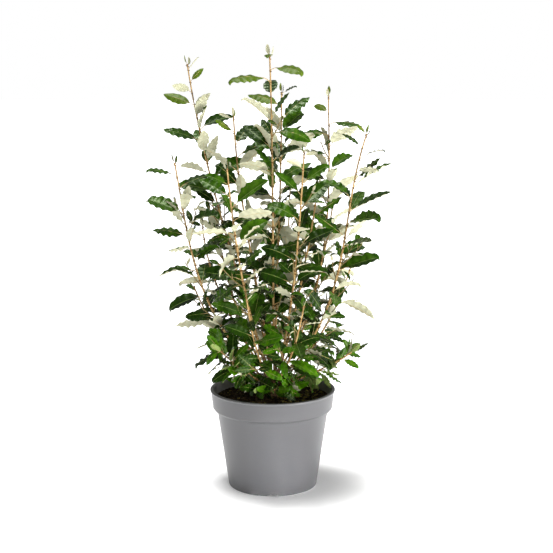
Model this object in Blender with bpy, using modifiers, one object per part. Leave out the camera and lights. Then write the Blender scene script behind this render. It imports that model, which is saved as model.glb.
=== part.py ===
"""Elaeagnus shrub in a round grey nursery pot, in metres with +Z up.

The origin is the centre of the pot's flat underside. A short woody trunk stands on
the soil and carries the boughs, and each bough carries one mass of foliage: a stem
with side twigs and leaves grown on it by a seeded rule. The two lowest branches and
the basal sprays meet the trunk itself.
"""

import math
import random
from collections import namedtuple

import bmesh
import bpy
from mathutils import Matrix, Vector
from mathutils.bvhtree import BVHTree

COLLECTION_NAME = "potted_elaeagnus"
CUTTER_COLLECTION_NAME = "potted_elaeagnus_cutters"

# Clearance between neighbouring solids, and the largest merge distance
GAP = 0.0003
MERGE = 0.00002

# Pot
POT_HEIGHT = 0.1782
RIM_RADIUS = 0.1129
RIM_BEAD = 0.0040
LIP_WIDTH = 0.0050
LIP_STEP = 0.0007
BAND_TOP_RADIUS = 0.1112
BAND_FOOT_RADIUS = 0.1080
BAND_FOOT_HEIGHT = 0.1412
BAND_CHAMFER = 0.0036
BAND_UNDERCUT = 0.0030
BAND_GROOVE = 0.0020
BODY_TOP_RADIUS = 0.1000
BASE_RADIUS = 0.0798
BASE_ROUNDING = 0.0030
WALL = 0.0020
FLOOR = 0.0030
POT_STEPS = 40
NOTCH_COUNT = 4
NOTCH_WIDTH = 0.024
NOTCH_RISE = 0.0045
NOTCH_DEPTH = 0.010
NOTCH_ZONE = 0.012
NOTCH_SEGMENTS = 48
SHARP_ANGLE = 28.0

# Soil
SOIL_EDGE_HEIGHT = 0.1610
SOIL_TOP_HEIGHT = 0.1645
SOIL_FLAT_RADIUS = 0.018
SOIL_SHOULDER_SHARE = 0.62
SOIL_CLEARANCE = 0.00033

# Trunk, from its flat cut on the soil to its top
TRUNK_FOOT_HEIGHT = SOIL_TOP_HEIGHT + GAP
TRUNK_TOP_HEIGHT = 0.2075
TRUNK_FLARE_RADIUS = 0.0125
TRUNK_RADIUS = 0.0068
TRUNK_TOP_RADIUS = 0.0052
TRUNK_FLARE_HEIGHT = 0.010
TRUNK_LEAN = 0.0030
TRUNK_SIDES = 10

# Limbs
BOUGH_FOOT_RADIUS = 0.0026
BOUGH_TIP_RADIUS = 0.0024
STEM_FOOT_RADIUS = 0.0023
STEM_TIP_RADIUS = 0.0010
TWIG_FOOT_RADIUS = 0.0012
TWIG_TIP_RADIUS = 0.0008
TRIANGLE_SWELL = 1.2
GUARD_SWELL = 1.3
HEADING_SHARE = 0.05
STEM_SEGMENT = 0.036
BOUGH_SEGMENT = 0.016
BOUGH_SIDES = 6
FOLIAGE_SIDES = 3

# Leaves
LEAF_LENGTH = 0.0765
LEAF_HALF_WIDTH_SHARE = 0.190
LEAF_THICKNESS = 0.0019
LEAF_RING_PLACES = (0.40, 0.76)
LEAF_RING_WIDTHS = (0.96, 0.82)
LEAF_CLEARANCE = 0.0009
LEAF_TURN = 137.5
LEAF_TURN_PLAY = 16.0
INTERNODE = 0.0224
INTERNODE_PLAY = 0.15
FIRST_LEAF_SHARE = 0.45
LAST_LEAF_SHARE = 0.60
ANGLE_AT_FOOT = 54.0
ANGLE_AT_TIP = 30.0
ANGLE_PLAY = 8.0
PETIOLE_SHARE = 0.16
KINK = 22.0
KINK_PLAY = 7.0
ARCH_AT_FOOT = 30.0
ARCH_AT_TIP = 28.0
ARCH_PLAY = 16.0
ROLL_PLAY = 36.0
SIZE_PLAY = 0.12
TIP_SHRINK = 0.65
YOUNG_STRETCH = 0.060
TIP_LEAF_LENGTH = 0.018
TIP_LEAF_ANGLES = (14.0, 30.0)
TIP_LEAF_STEP = 0.003
TURN_TRIES = (0.0, 24.0, -24.0, 48.0, -48.0, 72.0, -72.0, 100.0, -100.0)
SIZE_TRIES = (1.0, 0.8)

# Side twigs
TWIG_LENGTH = 0.062
TWIG_ANGLE = 42.0
TWIG_BEND = 22.0
TWIG_LEAF_SHARE = 0.72
TWIG_PLACES = (0.08, 0.24, 0.40)
TWIG_STEM_LENGTH = 0.33
TWIG_TURN_PLAY = 120.0
TWIG_LENGTH_PLAY = 0.2
TWIG_GUARD_START = 0.3
TWIG_GUARD_SWELL = 1.6

# Space that the crown keeps to: its half width, and where that is widest
CROWN_RADIUS = 0.236
CROWN_MIDDLE = 0.50
CROWN_HALF_HEIGHT = 0.37
CROWN_SQUARENESS = 3.2
CROWN_TOP = 0.786
CROWN_FLOOR = 0.168

# A shoot is one bough with its mass of foliage. Its tip lies reach away from the pot's
# axis towards azimuth (degrees from +X towards +Y), at height. bow is how far its middle
# swings outwards, curl turns its upper part out again, and sway moves its middle sideways.
# foot_turn and foot_height place its foot on the trunk, bare is the bough's length, and
# leaf_share is the size of its leaves, and of the steps between them, beside the largest.
Shoot = namedtuple(
    "Shoot",
    "name azimuth reach height bow curl sway foot_turn foot_height bare leaf_share",
)

SHOOTS = (
    Shoot("centre_tall", -99.0, 0.030, 0.769, 0.010, 0.004, 0.004, -100.0, 0.208, 0.060, 1.0),
    Shoot("front_right", -65.3, 0.127, 0.612, 0.023, 0.004, 0.000, -60.0, 0.1955, 0.055, 1.0),
    Shoot("front_left", -121.7, 0.143, 0.585, 0.022, 0.002, 0.000, -127.0, 0.195, 0.055, 1.0),
    Shoot("right", -17.2, 0.169, 0.638, 0.035, 0.017, 0.000, -25.0, 0.1895, 0.060, 1.0),
    Shoot("left", -170.0, 0.172, 0.587, 0.043, 0.010, 0.000, -170.0, 0.1875, 0.060, 1.0),
    Shoot("left_tall", 160.0, 0.161, 0.755, 0.013, -0.002, 0.000, 157.0, 0.2015, 0.070, 1.0),
    Shoot("right_tall", 24.4, 0.109, 0.701, 0.045, 0.009, 0.000, 24.0, 0.191, 0.065, 1.0),
    Shoot("back_centre", 74.9, 0.062, 0.706, 0.006, -0.004, 0.000, 84.0, 0.2055, 0.060, 1.0),
    Shoot("inner_left", 171.7, 0.069, 0.666, 0.006, -0.003, 0.000, 125.0, 0.206, 0.060, 1.0),
    Shoot("inner_right", 0.0, 0.080, 0.542, 0.006, 0.000, 0.000, 5.0, 0.2025, 0.055, 1.0),
    Shoot("left_short", 158.5, 0.136, 0.470, 0.025, -0.002, 0.000, 192.0, 0.195, 0.050, 1.0),
    Shoot("back_left", 134.0, 0.165, 0.520, 0.030, 0.005, 0.000, 135.0, 0.1895, 0.060, 1.0),
    Shoot("back_left_inner", 108.0, 0.150, 0.491, 0.024, 0.004, 0.000, 108.0, 0.1965, 0.060, 1.0),
    Shoot("back_right_inner", 78.0, 0.158, 0.528, 0.028, 0.004, 0.000, 72.0, 0.1895, 0.060, 1.0),
    Shoot("back_right", 47.0, 0.165, 0.503, 0.030, 0.004, 0.000, 50.0, 0.1985, 0.060, 1.0),
    Shoot("low_back_right", 28.0, 0.165, 0.394, 0.028, 0.004, 0.000, 12.0, 0.1835, 0.055, 1.0),
    Shoot("low_back_left", 152.0, 0.165, 0.351, 0.026, 0.004, 0.000, 155.0, 0.1825, 0.050, 1.0),
    Shoot("low_back", 93.0, 0.165, 0.380, 0.030, 0.004, 0.000, 95.0, 0.1805, 0.055, 1.0),
    Shoot("low_front_left", -108.0, 0.142, 0.372, 0.022, 0.003, 0.000, -113.0, 0.1875, 0.045, 0.8),
    Shoot("low_front_right", -68.5, 0.145, 0.356, 0.022, 0.003, 0.000, -76.0, 0.1845, 0.045, 0.8),
    Shoot("low_left_branch", -144.3, 0.112, 0.262, 0.006, -0.001, 0.0, -155.0, 0.1805, 0.0, 0.75),
    Shoot("low_right_branch", -12.1, 0.143, 0.251, 0.006, -0.004, 0.0, -6.0, 0.1765, 0.0, 0.68),
    Shoot("basal_left", -160.0, 0.060, 0.193, 0.004, 0.0, 0.0, -184.0, 0.1755, 0.0, 0.55),
    Shoot("basal_front_left", -122.0, 0.052, 0.187, 0.004, 0.0, 0.0, -126.0, 0.176, 0.0, 0.50),
    Shoot("basal_front", -86.0, 0.046, 0.187, 0.004, 0.0, 0.0, -86.0, 0.1755, 0.0, 0.50),
    Shoot("basal_front_right", -48.0, 0.054, 0.191, 0.004, 0.0, 0.0, -46.0, 0.1775, 0.0, 0.52),
    Shoot("basal_back_right", 35.0, 0.060, 0.195, 0.004, 0.0, 0.0, 35.0, 0.1755, 0.0, 0.55),
    Shoot("basal_back_left", 120.0, 0.060, 0.197, 0.004, 0.0, 0.0, 120.0, 0.1755, 0.0, 0.55),
)

# Side twigs that stand out by themselves: shoot, place along its stem, azimuth and length
Twig = namedtuple("Twig", "shoot place azimuth length")

SHOWN_TWIGS = (
    Twig("right", 0.44, 5.0, 0.070),
    Twig("right", 0.28, 20.0, 0.062),
    Twig("right", 0.20, -60.0, 0.052),
    Twig("low_right_branch", 0.45, 40.0, 0.045),
    Twig("low_left_branch", 0.42, 150.0, 0.050),
    Twig("low_left_branch", 0.55, -80.0, 0.040),
)

# Where the leaves near a shoot's tip are seen to stand. first is the distance from the tip
# down to the uppermost leaf, and young the stretch where leaves are still growing. hours
# are the sides that the leaves take from there down, as hours of a clock seen from above
# with the viewer at six, 0 for a bare place. Below the last one the spiral goes on.
ShownLeaves = namedtuple("ShownLeaves", "shoot first young hours")

SHOWN_LEAVES = (
    ShownLeaves("centre_tall", 0.001, 0.015, (6, 3, 9, 12, 0, 8, 3, 10, 4, 8, 2, 10, 2, 10, 8, 3, 4, 10)),
    ShownLeaves("left_tall", 0.011, 0.120, (3, 3, 8, 9, 5, 3, 9, 6, 12, 3, 10)),
    ShownLeaves("left", 0.026, 0.040, (9, 2, 5, 9, 4, 9, 7, 2, 9, 1, 9, 5, 9)),
    ShownLeaves("inner_left", 0.007, 0.070, (9, 8, 1, 3, 8, 10, 4, 9)),
    ShownLeaves("right_tall", 0.033, 0.060, (10, 3, 9, 5, 8, 2, 9, 3, 5, 10, 2)),
    ShownLeaves("right", 0.002, 0.080, (9, 9, 4, 5, 3, 10, 3, 5, 9, 3, 2, 3)),
    ShownLeaves("front_right", 0.009, 0.100, (4, 8, 3, 10, 2, 9, 6, 2, 9, 4, 10)),
    ShownLeaves("front_left", 0.030, 0.060, (9, 10, 3, 4, 9, 2, 8, 6, 9, 5)),
    ShownLeaves("back_centre", 0.005, 0.020, (3, 10, 2, 3, 8)),
    ShownLeaves("left_short", 0.007, 0.100, (9, 8, 2, 10, 3)),
    ShownLeaves("low_left_branch", 0.004, 0.010, (9, 11, 1)),
)
HOUR_TURN = 30.0
HOUR_PLAY = 8.0

SEED = 41


# Scene set-up
def clear_scene():
    """Removes every object, so that only this plant is in the file."""
    for thing in list(bpy.data.objects):
        bpy.data.objects.remove(thing, do_unlink=True)


def new_collection(name):
    """A collection linked to the scene."""
    group = bpy.data.collections.new(name)
    bpy.context.scene.collection.children.link(group)
    return group


def finish(name, colour, roughness, metallic=0.0):
    """A Principled material of one plain colour."""
    material = bpy.data.materials.new(name)
    material.use_nodes = True
    shader = material.node_tree.nodes["Principled BSDF"]
    shader.inputs["Base Color"].default_value = (*colour, 1.0)
    shader.inputs["Roughness"].default_value = roughness
    shader.inputs["Metallic"].default_value = metallic
    material.diffuse_color = (*colour, 1.0)
    return material


def mesh_object(name, mesh, group, material=None):
    """An object for a mesh, in a collection."""
    thing = bpy.data.objects.new(name, mesh)
    group.objects.link(thing)
    if material:
        mesh.materials.append(material)
    return thing


# Turned pieces
def screw_object(name, profile, steps, group, material):
    """Turns a profile of (radius, height) pairs round the Z axis."""
    mesh = bpy.data.meshes.new(name)
    form = bmesh.new()
    corners = [form.verts.new((radius, 0.0, height)) for radius, height in profile]
    for first, second in zip(corners, corners[1:]):
        form.edges.new((first, second))
    form.to_mesh(mesh)
    form.free()
    thing = mesh_object(name, mesh, group, material)
    turn = thing.modifiers.new("turned", "SCREW")
    turn.axis = "Z"
    turn.angle = math.tau
    turn.steps = steps
    turn.render_steps = steps
    turn.use_merge_vertices = True
    turn.merge_threshold = MERGE
    return thing


def arc(centre, radius, start, end, steps):
    """Points of an arc in the (radius, height) plane, from start to end in degrees."""
    points = []
    for step in range(steps + 1):
        angle = math.radians(start + (end - start) * step / steps)
        points.append((centre[0] + radius * math.cos(angle), centre[1] + radius * math.sin(angle)))
    return points


def pot_inner_radius(height):
    """Radius of the pot's inner wall at a height."""
    outer_slope = (BODY_TOP_RADIUS - BASE_RADIUS) / BAND_FOOT_HEIGHT
    if height <= BAND_FOOT_HEIGHT:
        return BASE_RADIUS + outer_slope * height - WALL
    share = (height - BAND_FOOT_HEIGHT) / (POT_HEIGHT - BAND_FOOT_HEIGHT)
    top = RIM_RADIUS - LIP_WIDTH - LIP_STEP
    return BODY_TOP_RADIUS - WALL + (top - BODY_TOP_RADIUS + WALL) * share


def pot_profile():
    """The pot's outline: up the inner wall, over the bead and down the outside."""
    bead_half = RIM_BEAD / 2.0
    bead_centre = (RIM_RADIUS - bead_half, POT_HEIGHT - bead_half)
    body_slope = (BODY_TOP_RADIUS - BASE_RADIUS) / BAND_FOOT_HEIGHT
    profile = [(0.0, FLOOR), (pot_inner_radius(FLOOR), FLOOR)]
    profile.append((pot_inner_radius(BAND_FOOT_HEIGHT), BAND_FOOT_HEIGHT))
    profile.append((pot_inner_radius(POT_HEIGHT - RIM_BEAD), POT_HEIGHT - RIM_BEAD))
    profile.append((RIM_RADIUS - LIP_WIDTH, POT_HEIGHT))
    profile += arc(bead_centre, bead_half, 90.0, -70.0, 4)
    profile.append((BAND_TOP_RADIUS, POT_HEIGHT - RIM_BEAD - LIP_STEP))
    profile.append((BAND_FOOT_RADIUS, BAND_FOOT_HEIGHT + BAND_CHAMFER))
    profile.append((BAND_FOOT_RADIUS - BAND_UNDERCUT, BAND_FOOT_HEIGHT))
    profile.append((BODY_TOP_RADIUS, BAND_FOOT_HEIGHT - BAND_GROOVE))
    profile.append((BASE_RADIUS + body_slope * NOTCH_ZONE, NOTCH_ZONE))
    rounding_centre = (BASE_RADIUS + body_slope * BASE_ROUNDING - BASE_ROUNDING, BASE_ROUNDING)
    profile += arc(rounding_centre, BASE_ROUNDING, 0.0, -90.0, 3)
    profile.append((0.0, 0.0))
    return profile


def notch_cutter(group, azimuth):
    """A round bar that cuts one shallow arch into the pot's foot."""
    bar_radius = ((NOTCH_WIDTH / 2.0) ** 2 + NOTCH_RISE ** 2) / (2.0 * NOTCH_RISE)
    mesh = bpy.data.meshes.new("notch_cutter")
    form = bmesh.new()
    bmesh.ops.create_cone(
        form, cap_ends=True, segments=NOTCH_SEGMENTS, radius1=bar_radius, radius2=bar_radius,
        depth=2.0 * NOTCH_DEPTH,
    )
    form.to_mesh(mesh)
    form.free()
    cutter = mesh_object("notch_cutter", mesh, group)
    angle = math.radians(azimuth)
    outwards = Vector((math.cos(angle), math.sin(angle), 0.0))
    cutter.rotation_euler = outwards.to_track_quat("Z", "Y").to_euler()
    cutter.location = outwards * BASE_RADIUS + Vector((0.0, 0.0, NOTCH_RISE - bar_radius))
    cutter.hide_render = True
    cutter.display_type = "WIRE"
    return cutter


def make_pot(group, cutters):
    """The pot, with its drainage notches cut into the foot."""
    grey = finish("pot_grey", (0.27, 0.27, 0.285), 0.42)
    pot = screw_object("pot", pot_profile(), POT_STEPS, group, grey)
    bpy.context.view_layer.objects.active = pot
    bpy.ops.object.modifier_apply(modifier="turned")
    for index in range(NOTCH_COUNT):
        cut = pot.modifiers.new("notch", "BOOLEAN")
        cut.operation = "DIFFERENCE"
        cut.object = notch_cutter(cutters, 360.0 / NOTCH_COUNT * index - 90.0)
        bpy.ops.object.modifier_apply(modifier=cut.name)
    pot.data.shade_smooth()
    pot.data.set_sharp_from_angle(angle=math.radians(SHARP_ANGLE))


def soil_surface():
    """Outline of the soil's mound, from its middle out to the pot's wall."""
    rise = SOIL_TOP_HEIGHT - SOIL_EDGE_HEIGHT
    edge = pot_inner_radius(SOIL_EDGE_HEIGHT) - SOIL_CLEARANCE
    shoulder = (edge * SOIL_SHOULDER_SHARE, SOIL_EDGE_HEIGHT + rise * SOIL_SHOULDER_SHARE)
    middle = [(0.0, SOIL_TOP_HEIGHT), (SOIL_FLAT_RADIUS, SOIL_TOP_HEIGHT)]
    return middle + [shoulder, (edge, SOIL_EDGE_HEIGHT)]


def make_soil(group):
    """The potting soil, a low mound that fills the pot to below its rim."""
    brown = finish("soil", (0.030, 0.020, 0.010), 0.95)
    foot = FLOOR + GAP
    wall = [(pot_inner_radius(height) - SOIL_CLEARANCE, height) for height in (BAND_FOOT_HEIGHT, foot)]
    profile = soil_surface() + wall + [(0.0, foot)]
    screw_object("soil", profile, POT_STEPS, group, brown)


# Trunk
def trunk_radius(height):
    """Radius of the trunk at a height: a root flare, then a slow taper."""
    above = height - TRUNK_FOOT_HEIGHT
    share = above / (TRUNK_TOP_HEIGHT - TRUNK_FOOT_HEIGHT)
    taper = TRUNK_RADIUS + (TRUNK_TOP_RADIUS - TRUNK_RADIUS) * share
    if above >= TRUNK_FLARE_HEIGHT:
        return taper
    flare = (1.0 - above / TRUNK_FLARE_HEIGHT) ** 2
    return taper + (TRUNK_FLARE_RADIUS - TRUNK_RADIUS) * flare


def trunk_centre(height):
    """Centre of the leaning trunk at a height."""
    share = (height - TRUNK_FOOT_HEIGHT) / (TRUNK_TOP_HEIGHT - TRUNK_FOOT_HEIGHT)
    return Vector((TRUNK_LEAN * share * share, 0.0, height))


# Limbs
def limb_mesh(name, points, radii, sides):
    """A closed tube along points, as a mesh: a curve with a bevel and filled caps."""
    curve = bpy.data.curves.new(name, "CURVE")
    curve.dimensions = "3D"
    curve.use_fill_caps = True
    section = None
    if sides == FOLIAGE_SIDES:
        section = bpy.data.curves.new("three_sided_section", "CURVE")
        section.dimensions = "2D"
        ring = section.splines.new("POLY")
        ring.points.add(2)
        for index, point in enumerate(ring.points):
            angle = math.tau * index / 3.0
            point.co = (math.cos(angle), math.sin(angle), 0.0, 1.0)
        ring.use_cyclic_u = True
        section_object = bpy.data.objects.new("three_sided_section", section)
        bpy.context.scene.collection.objects.link(section_object)
        curve.bevel_mode = "OBJECT"
        curve.bevel_object = section_object
    else:
        curve.bevel_depth = 1.0
        curve.bevel_resolution = sides // 2 - 2
    line = curve.splines.new("POLY")
    line.points.add(len(points) - 1)
    for point, place, radius in zip(line.points, points, radii):
        point.co = (*place, 1.0)
        point.radius = radius
    holder = bpy.data.objects.new(name, curve)
    bpy.context.scene.collection.objects.link(holder)
    bpy.context.view_layer.update()
    graph = bpy.context.evaluated_depsgraph_get()
    mesh = bpy.data.meshes.new_from_object(holder.evaluated_get(graph))
    form = bmesh.new()
    form.from_mesh(mesh)
    bmesh.ops.remove_doubles(form, verts=form.verts, dist=MERGE)
    bmesh.ops.recalc_face_normals(form, faces=form.faces)
    form.to_mesh(mesh)
    form.free()
    bpy.data.objects.remove(holder, do_unlink=True)
    if section:
        bpy.data.objects.remove(section_object, do_unlink=True)
    return mesh


def make_trunk(group, bark):
    """The trunk: ten-sided, flared at its flat foot and cut flat at its top."""
    flare_top = TRUNK_FOOT_HEIGHT + TRUNK_FLARE_HEIGHT
    flare_middle = TRUNK_FOOT_HEIGHT + TRUNK_FLARE_HEIGHT / 3.0
    middle = (flare_top + TRUNK_TOP_HEIGHT) / 2.0
    heights = (TRUNK_FOOT_HEIGHT, flare_middle, flare_top, middle, TRUNK_TOP_HEIGHT)
    points = [trunk_centre(height) for height in heights]
    points[1].x = points[0].x
    radii = [trunk_radius(height) for height in heights]
    mesh_object("trunk", limb_mesh("trunk", points, radii, TRUNK_SIDES), group, bark)


def outward(azimuth):
    """Level unit vector towards an azimuth in degrees."""
    angle = math.radians(azimuth)
    return Vector((math.cos(angle), math.sin(angle), 0.0))


def shoot_foot(shoot):
    """Where a shoot's foot stands: the end of its tilted limb just clears the trunk."""
    centre = trunk_centre(min(shoot.foot_height, TRUNK_TOP_HEIGHT))
    centre.z = shoot.foot_height
    if shoot.foot_height > TRUNK_TOP_HEIGHT:
        return centre
    out = outward(shoot.foot_turn)
    heading = bent_point(shoot, centre, HEADING_SHARE) - centre
    tilt = max(0.0, heading.normalized().dot(out))
    end_radius = foot_radius(shoot) * math.sqrt(1.0 - tilt * tilt)
    return centre + out * (trunk_radius(shoot.foot_height) + GAP + end_radius)


def foot_radius(shoot):
    """Radius of a shoot at its foot: a bough's, or that of a mass's own swollen stem."""
    if shoot.bare:
        return BOUGH_FOOT_RADIUS
    return stem_radius(shoot) * TRIANGLE_SWELL


def stem_radius(shoot):
    """Radius at the foot of a shoot's stem, less where its leaves are small."""
    return STEM_FOOT_RADIUS * shoot.leaf_share


def bent_point(shoot, foot, share):
    """Point at a share of the curve from a foot to a shoot's tip."""
    tip = outward(shoot.azimuth) * shoot.reach + Vector((0.0, 0.0, shoot.height))
    across = (tip - foot).to_2d().normalized()
    out = Vector((across.x, across.y, 0.0))
    side = Vector((-across.y, across.x, 0.0))
    arch = 4.0 * share * (1.0 - share)
    swing = shoot.bow * arch + shoot.curl * 2.0 * arch * (1.0 - 2.0 * share)
    return foot.lerp(tip, share) + out * swing + side * shoot.sway * arch


def shoot_point(shoot, share):
    """Point of a shoot's centre line, from its foot (0) to its tip (1)."""
    return bent_point(shoot, shoot_foot(shoot), share)


def shoot_line(shoot, samples=200):
    """Finely spaced points of a shoot's centre line, with the distance to each."""
    points = [shoot_point(shoot, index / samples) for index in range(samples + 1)]
    return points, measured(points)


def along_line(points, distances, distance):
    """Point at a distance along a line of points, and the direction there."""
    last = len(points) - 2
    index = 0
    while index < last and distances[index + 1] < distance:
        index += 1
    step = points[index + 1] - points[index]
    share = (distance - distances[index]) / step.length
    return points[index] + step * share, step.normalized()


def stretch(points, distances, start, end, segment):
    """Evenly spaced points of a line between two distances."""
    count = max(2, round((end - start) / segment))
    places = [start + (end - start) * index / count for index in range(count + 1)]
    return [along_line(points, distances, place)[0] for place in places]


def tapering(first, last, count):
    """Radii that taper evenly along a limb."""
    return [first + (last - first) * index / (count - 1) for index in range(count)]


# The space that is taken
class Taken:
    """Solids that are already placed, tested for touch by new ones."""

    def __init__(self):
        self.entries = []

    def add(self, owner, corners, faces):
        """Adds one solid under its owner's name."""
        low, high = bounds(corners)
        self.entries.append((owner, low, high, BVHTree.FromPolygons(corners, faces)))

    def add_limb(self, owner, points, radii):
        """Adds a limb as a row of four-sided prisms."""
        for index in range(len(points) - 1):
            corners, faces = prism(points[index], points[index + 1], radii[index] * GUARD_SWELL)
            self.add(owner, corners, faces)

    def touches(self, corners, faces, skip=()):
        """Whether a solid cuts or touches any that is there, apart from the owners in skip."""
        low, high = bounds(corners)
        tree = None
        for owner, other_low, other_high, other in self.entries:
            if owner in skip or apart(low, high, other_low, other_high):
                continue
            if tree is None:
                tree = BVHTree.FromPolygons(corners, faces)
            if tree.overlap(other):
                return True
        return False


def bounds(corners):
    """Lowest and highest corners of a set of points."""
    low = tuple(min(corner[axis] for corner in corners) for axis in range(3))
    high = tuple(max(corner[axis] for corner in corners) for axis in range(3))
    return low, high


def apart(low, high, other_low, other_high):
    """Whether two boxes are clear of each other."""
    for axis in range(3):
        if high[axis] < other_low[axis] or other_high[axis] < low[axis]:
            return True
    return False


def prism(start, end, radius):
    """Corners and faces of an open four-sided prism round a line."""
    direction = (end - start).normalized()
    side = direction.orthogonal().normalized() * radius
    other = direction.cross(side)
    ring = (side, other, -side, -other)
    corners = [start + offset for offset in ring] + [end + offset for offset in ring]
    faces = [(index, (index + 1) % 4, (index + 1) % 4 + 4, index + 4) for index in range(4)]
    return corners, faces


def turned_profile(profile, steps):
    """Corners and faces of a turned surface, for the pot and the soil."""
    corners = []
    for index in range(steps):
        angle = math.tau * index / steps
        for radius, height in profile:
            corners.append(Vector((radius * math.cos(angle), radius * math.sin(angle), height)))
    count = len(profile)
    faces = []
    for index in range(steps):
        start = index * count
        after = (index + 1) % steps * count
        for level in range(count - 1):
            faces.append((start + level, start + level + 1, after + level + 1, after + level))
    return corners, faces


# Leaves
Leaf = namedtuple("Leaf", "root along up side length kink arch")

# How a leaf is set: its angle to the stem, the kink past its stalk, the arch of its
# blade and its roll about its own midrib (all in degrees), and its length
Pose = namedtuple("Pose", "angle kink arch roll length")


def leaf_frame(root, stem_direction, azimuth, pose, size=1.0):
    """A leaf's place and directions, from the stem's direction and its turn round it."""
    reference = outward(azimuth)
    out = reference - stem_direction * reference.dot(stem_direction)
    out.normalize()
    lift = math.radians(pose.angle)
    along = stem_direction * math.cos(lift) + out * math.sin(lift)
    up = stem_direction * math.sin(lift) - out * math.cos(lift)
    up = Matrix.Rotation(math.radians(pose.roll), 3, along) @ up
    kink = math.radians(pose.kink)
    arch = math.radians(pose.arch)
    return Leaf(root, along, up, along.cross(up), pose.length * size, kink, arch)


def leaf_turn(leaf, share):
    """How far a leaf's midrib has turned down by a share of its length."""
    return leaf.kink * min(1.0, share / PETIOLE_SHARE) + leaf.arch * share


def leaf_place(leaf, share, steps=8):
    """Point of a leaf's midrib and the upward direction there."""
    point = leaf.root.copy()
    step_length = leaf.length * share / steps
    for step in range(steps):
        turned = leaf_turn(leaf, share * (step + 0.5) / steps)
        heading = leaf.along * math.cos(turned) - leaf.up * math.sin(turned)
        point += heading * step_length
    turned = leaf_turn(leaf, share)
    return point, leaf.up * math.cos(turned) + leaf.along * math.sin(turned)


def leaf_corners(leaf, clearance=0.0):
    """The leaf's eight corners: its root, two rings of three and its tip."""
    thickness = LEAF_THICKNESS + 2.0 * clearance
    corners = [leaf.root]
    for place, width in zip(LEAF_RING_PLACES, LEAF_RING_WIDTHS):
        point, up = leaf_place(leaf, place)
        half = leaf.length * LEAF_HALF_WIDTH_SHARE * width + clearance
        top = point + up * (thickness / 3.0)
        corners.append(point - up * (thickness * 2.0 / 3.0))
        corners.append(top + leaf.side * half)
        corners.append(top - leaf.side * half)
    corners.append(leaf_place(leaf, 1.0 + clearance / leaf.length)[0])
    return corners


LEAF_FACES = (
    (0, 1, 2), (0, 2, 3), (0, 3, 1),
    (1, 4, 5, 2), (2, 5, 6, 3), (3, 6, 4, 1),
    (4, 7, 5), (5, 7, 6), (6, 7, 4),
)


def leaf_mesh(leaf):
    """The leaf's solid: a ball of two rings of three, drawn out into an arched blade."""
    mesh = bpy.data.meshes.new("leaf")
    form = bmesh.new()
    bmesh.ops.create_uvsphere(form, u_segments=3, v_segments=3, radius=1.0)
    corners = leaf_corners(leaf)
    for vert in form.verts:
        if vert.co.z > 0.9:
            corner = corners[0]
        elif vert.co.z < -0.9:
            corner = corners[7]
        else:
            ring = 1 if vert.co.z > 0.0 else 4
            turn = round(math.atan2(vert.co.y, vert.co.x) / (math.tau / 3.0)) % 3
            corner = corners[ring + turn]
        vert.co = corner
    bmesh.ops.triangulate(form, faces=form.faces)
    bmesh.ops.recalc_face_normals(form, faces=form.faces)
    form.to_mesh(mesh)
    form.free()
    return mesh


# Growth
def in_crown(point):
    """Whether a point is inside the space that the crown keeps to."""
    if not CROWN_FLOOR < point.z < CROWN_TOP:
        return False
    level = abs(point.z - CROWN_MIDDLE) / CROWN_HALF_HEIGHT
    if level >= 1.0:
        return False
    half_width = CROWN_RADIUS * (1.0 - level ** CROWN_SQUARENESS) ** (1.0 / CROWN_SQUARENESS)
    return math.hypot(point.x, point.y) < half_width


def settle_leaf(taken, limb, root, direction, turn, pose):
    """The first leaf near the wanted turn that is clear of all else, or None."""
    for size in SIZE_TRIES:
        for swing in TURN_TRIES:
            leaf = leaf_frame(root, direction, turn + swing, pose, size)
            if not in_crown(leaf_place(leaf, 1.0)[0]):
                continue
            wide = leaf_corners(leaf, LEAF_CLEARANCE)
            if not taken.touches(wide, LEAF_FACES, skip=(limb,)):
                return leaf
    return None


def leaf_pose(share, grown, size, chance):
    """How a leaf is set, by its place along its limb and how far it has grown."""
    angle = ANGLE_AT_FOOT + (ANGLE_AT_TIP - ANGLE_AT_FOOT) * share
    arch = ARCH_AT_FOOT + (ARCH_AT_TIP - ARCH_AT_FOOT) * share
    length = LEAF_LENGTH * size * (1.0 - TIP_SHRINK * (1.0 - grown))
    return Pose(
        angle + chance.uniform(-ANGLE_PLAY, ANGLE_PLAY),
        KINK + chance.uniform(-KINK_PLAY, KINK_PLAY),
        arch + chance.uniform(-ARCH_PLAY, ARCH_PLAY),
        chance.uniform(-ROLL_PLAY, ROLL_PLAY),
        length * (1.0 + chance.uniform(-SIZE_PLAY, SIZE_PLAY)),
    )


def tip_leaves(taken, limb, points, size, chance):
    """The two narrow leaves that unfold at a stem's tip."""
    leaves = []
    distances = measured(points)
    turn = chance.uniform(0.0, 360.0)
    for index, angle in enumerate(TIP_LEAF_ANGLES):
        root, direction = along_line(points, distances, distances[-1] - TIP_LEAF_STEP * (index + 0.5))
        pose = Pose(angle, 0.0, -angle, 0.0, TIP_LEAF_LENGTH * size)
        leaf = settle_leaf(taken, limb, root, direction, turn + 180.0 * index, pose)
        if leaf:
            taken.add(limb, leaf_corners(leaf), LEAF_FACES)
            leaves.append(leaf)
    return leaves


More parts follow.
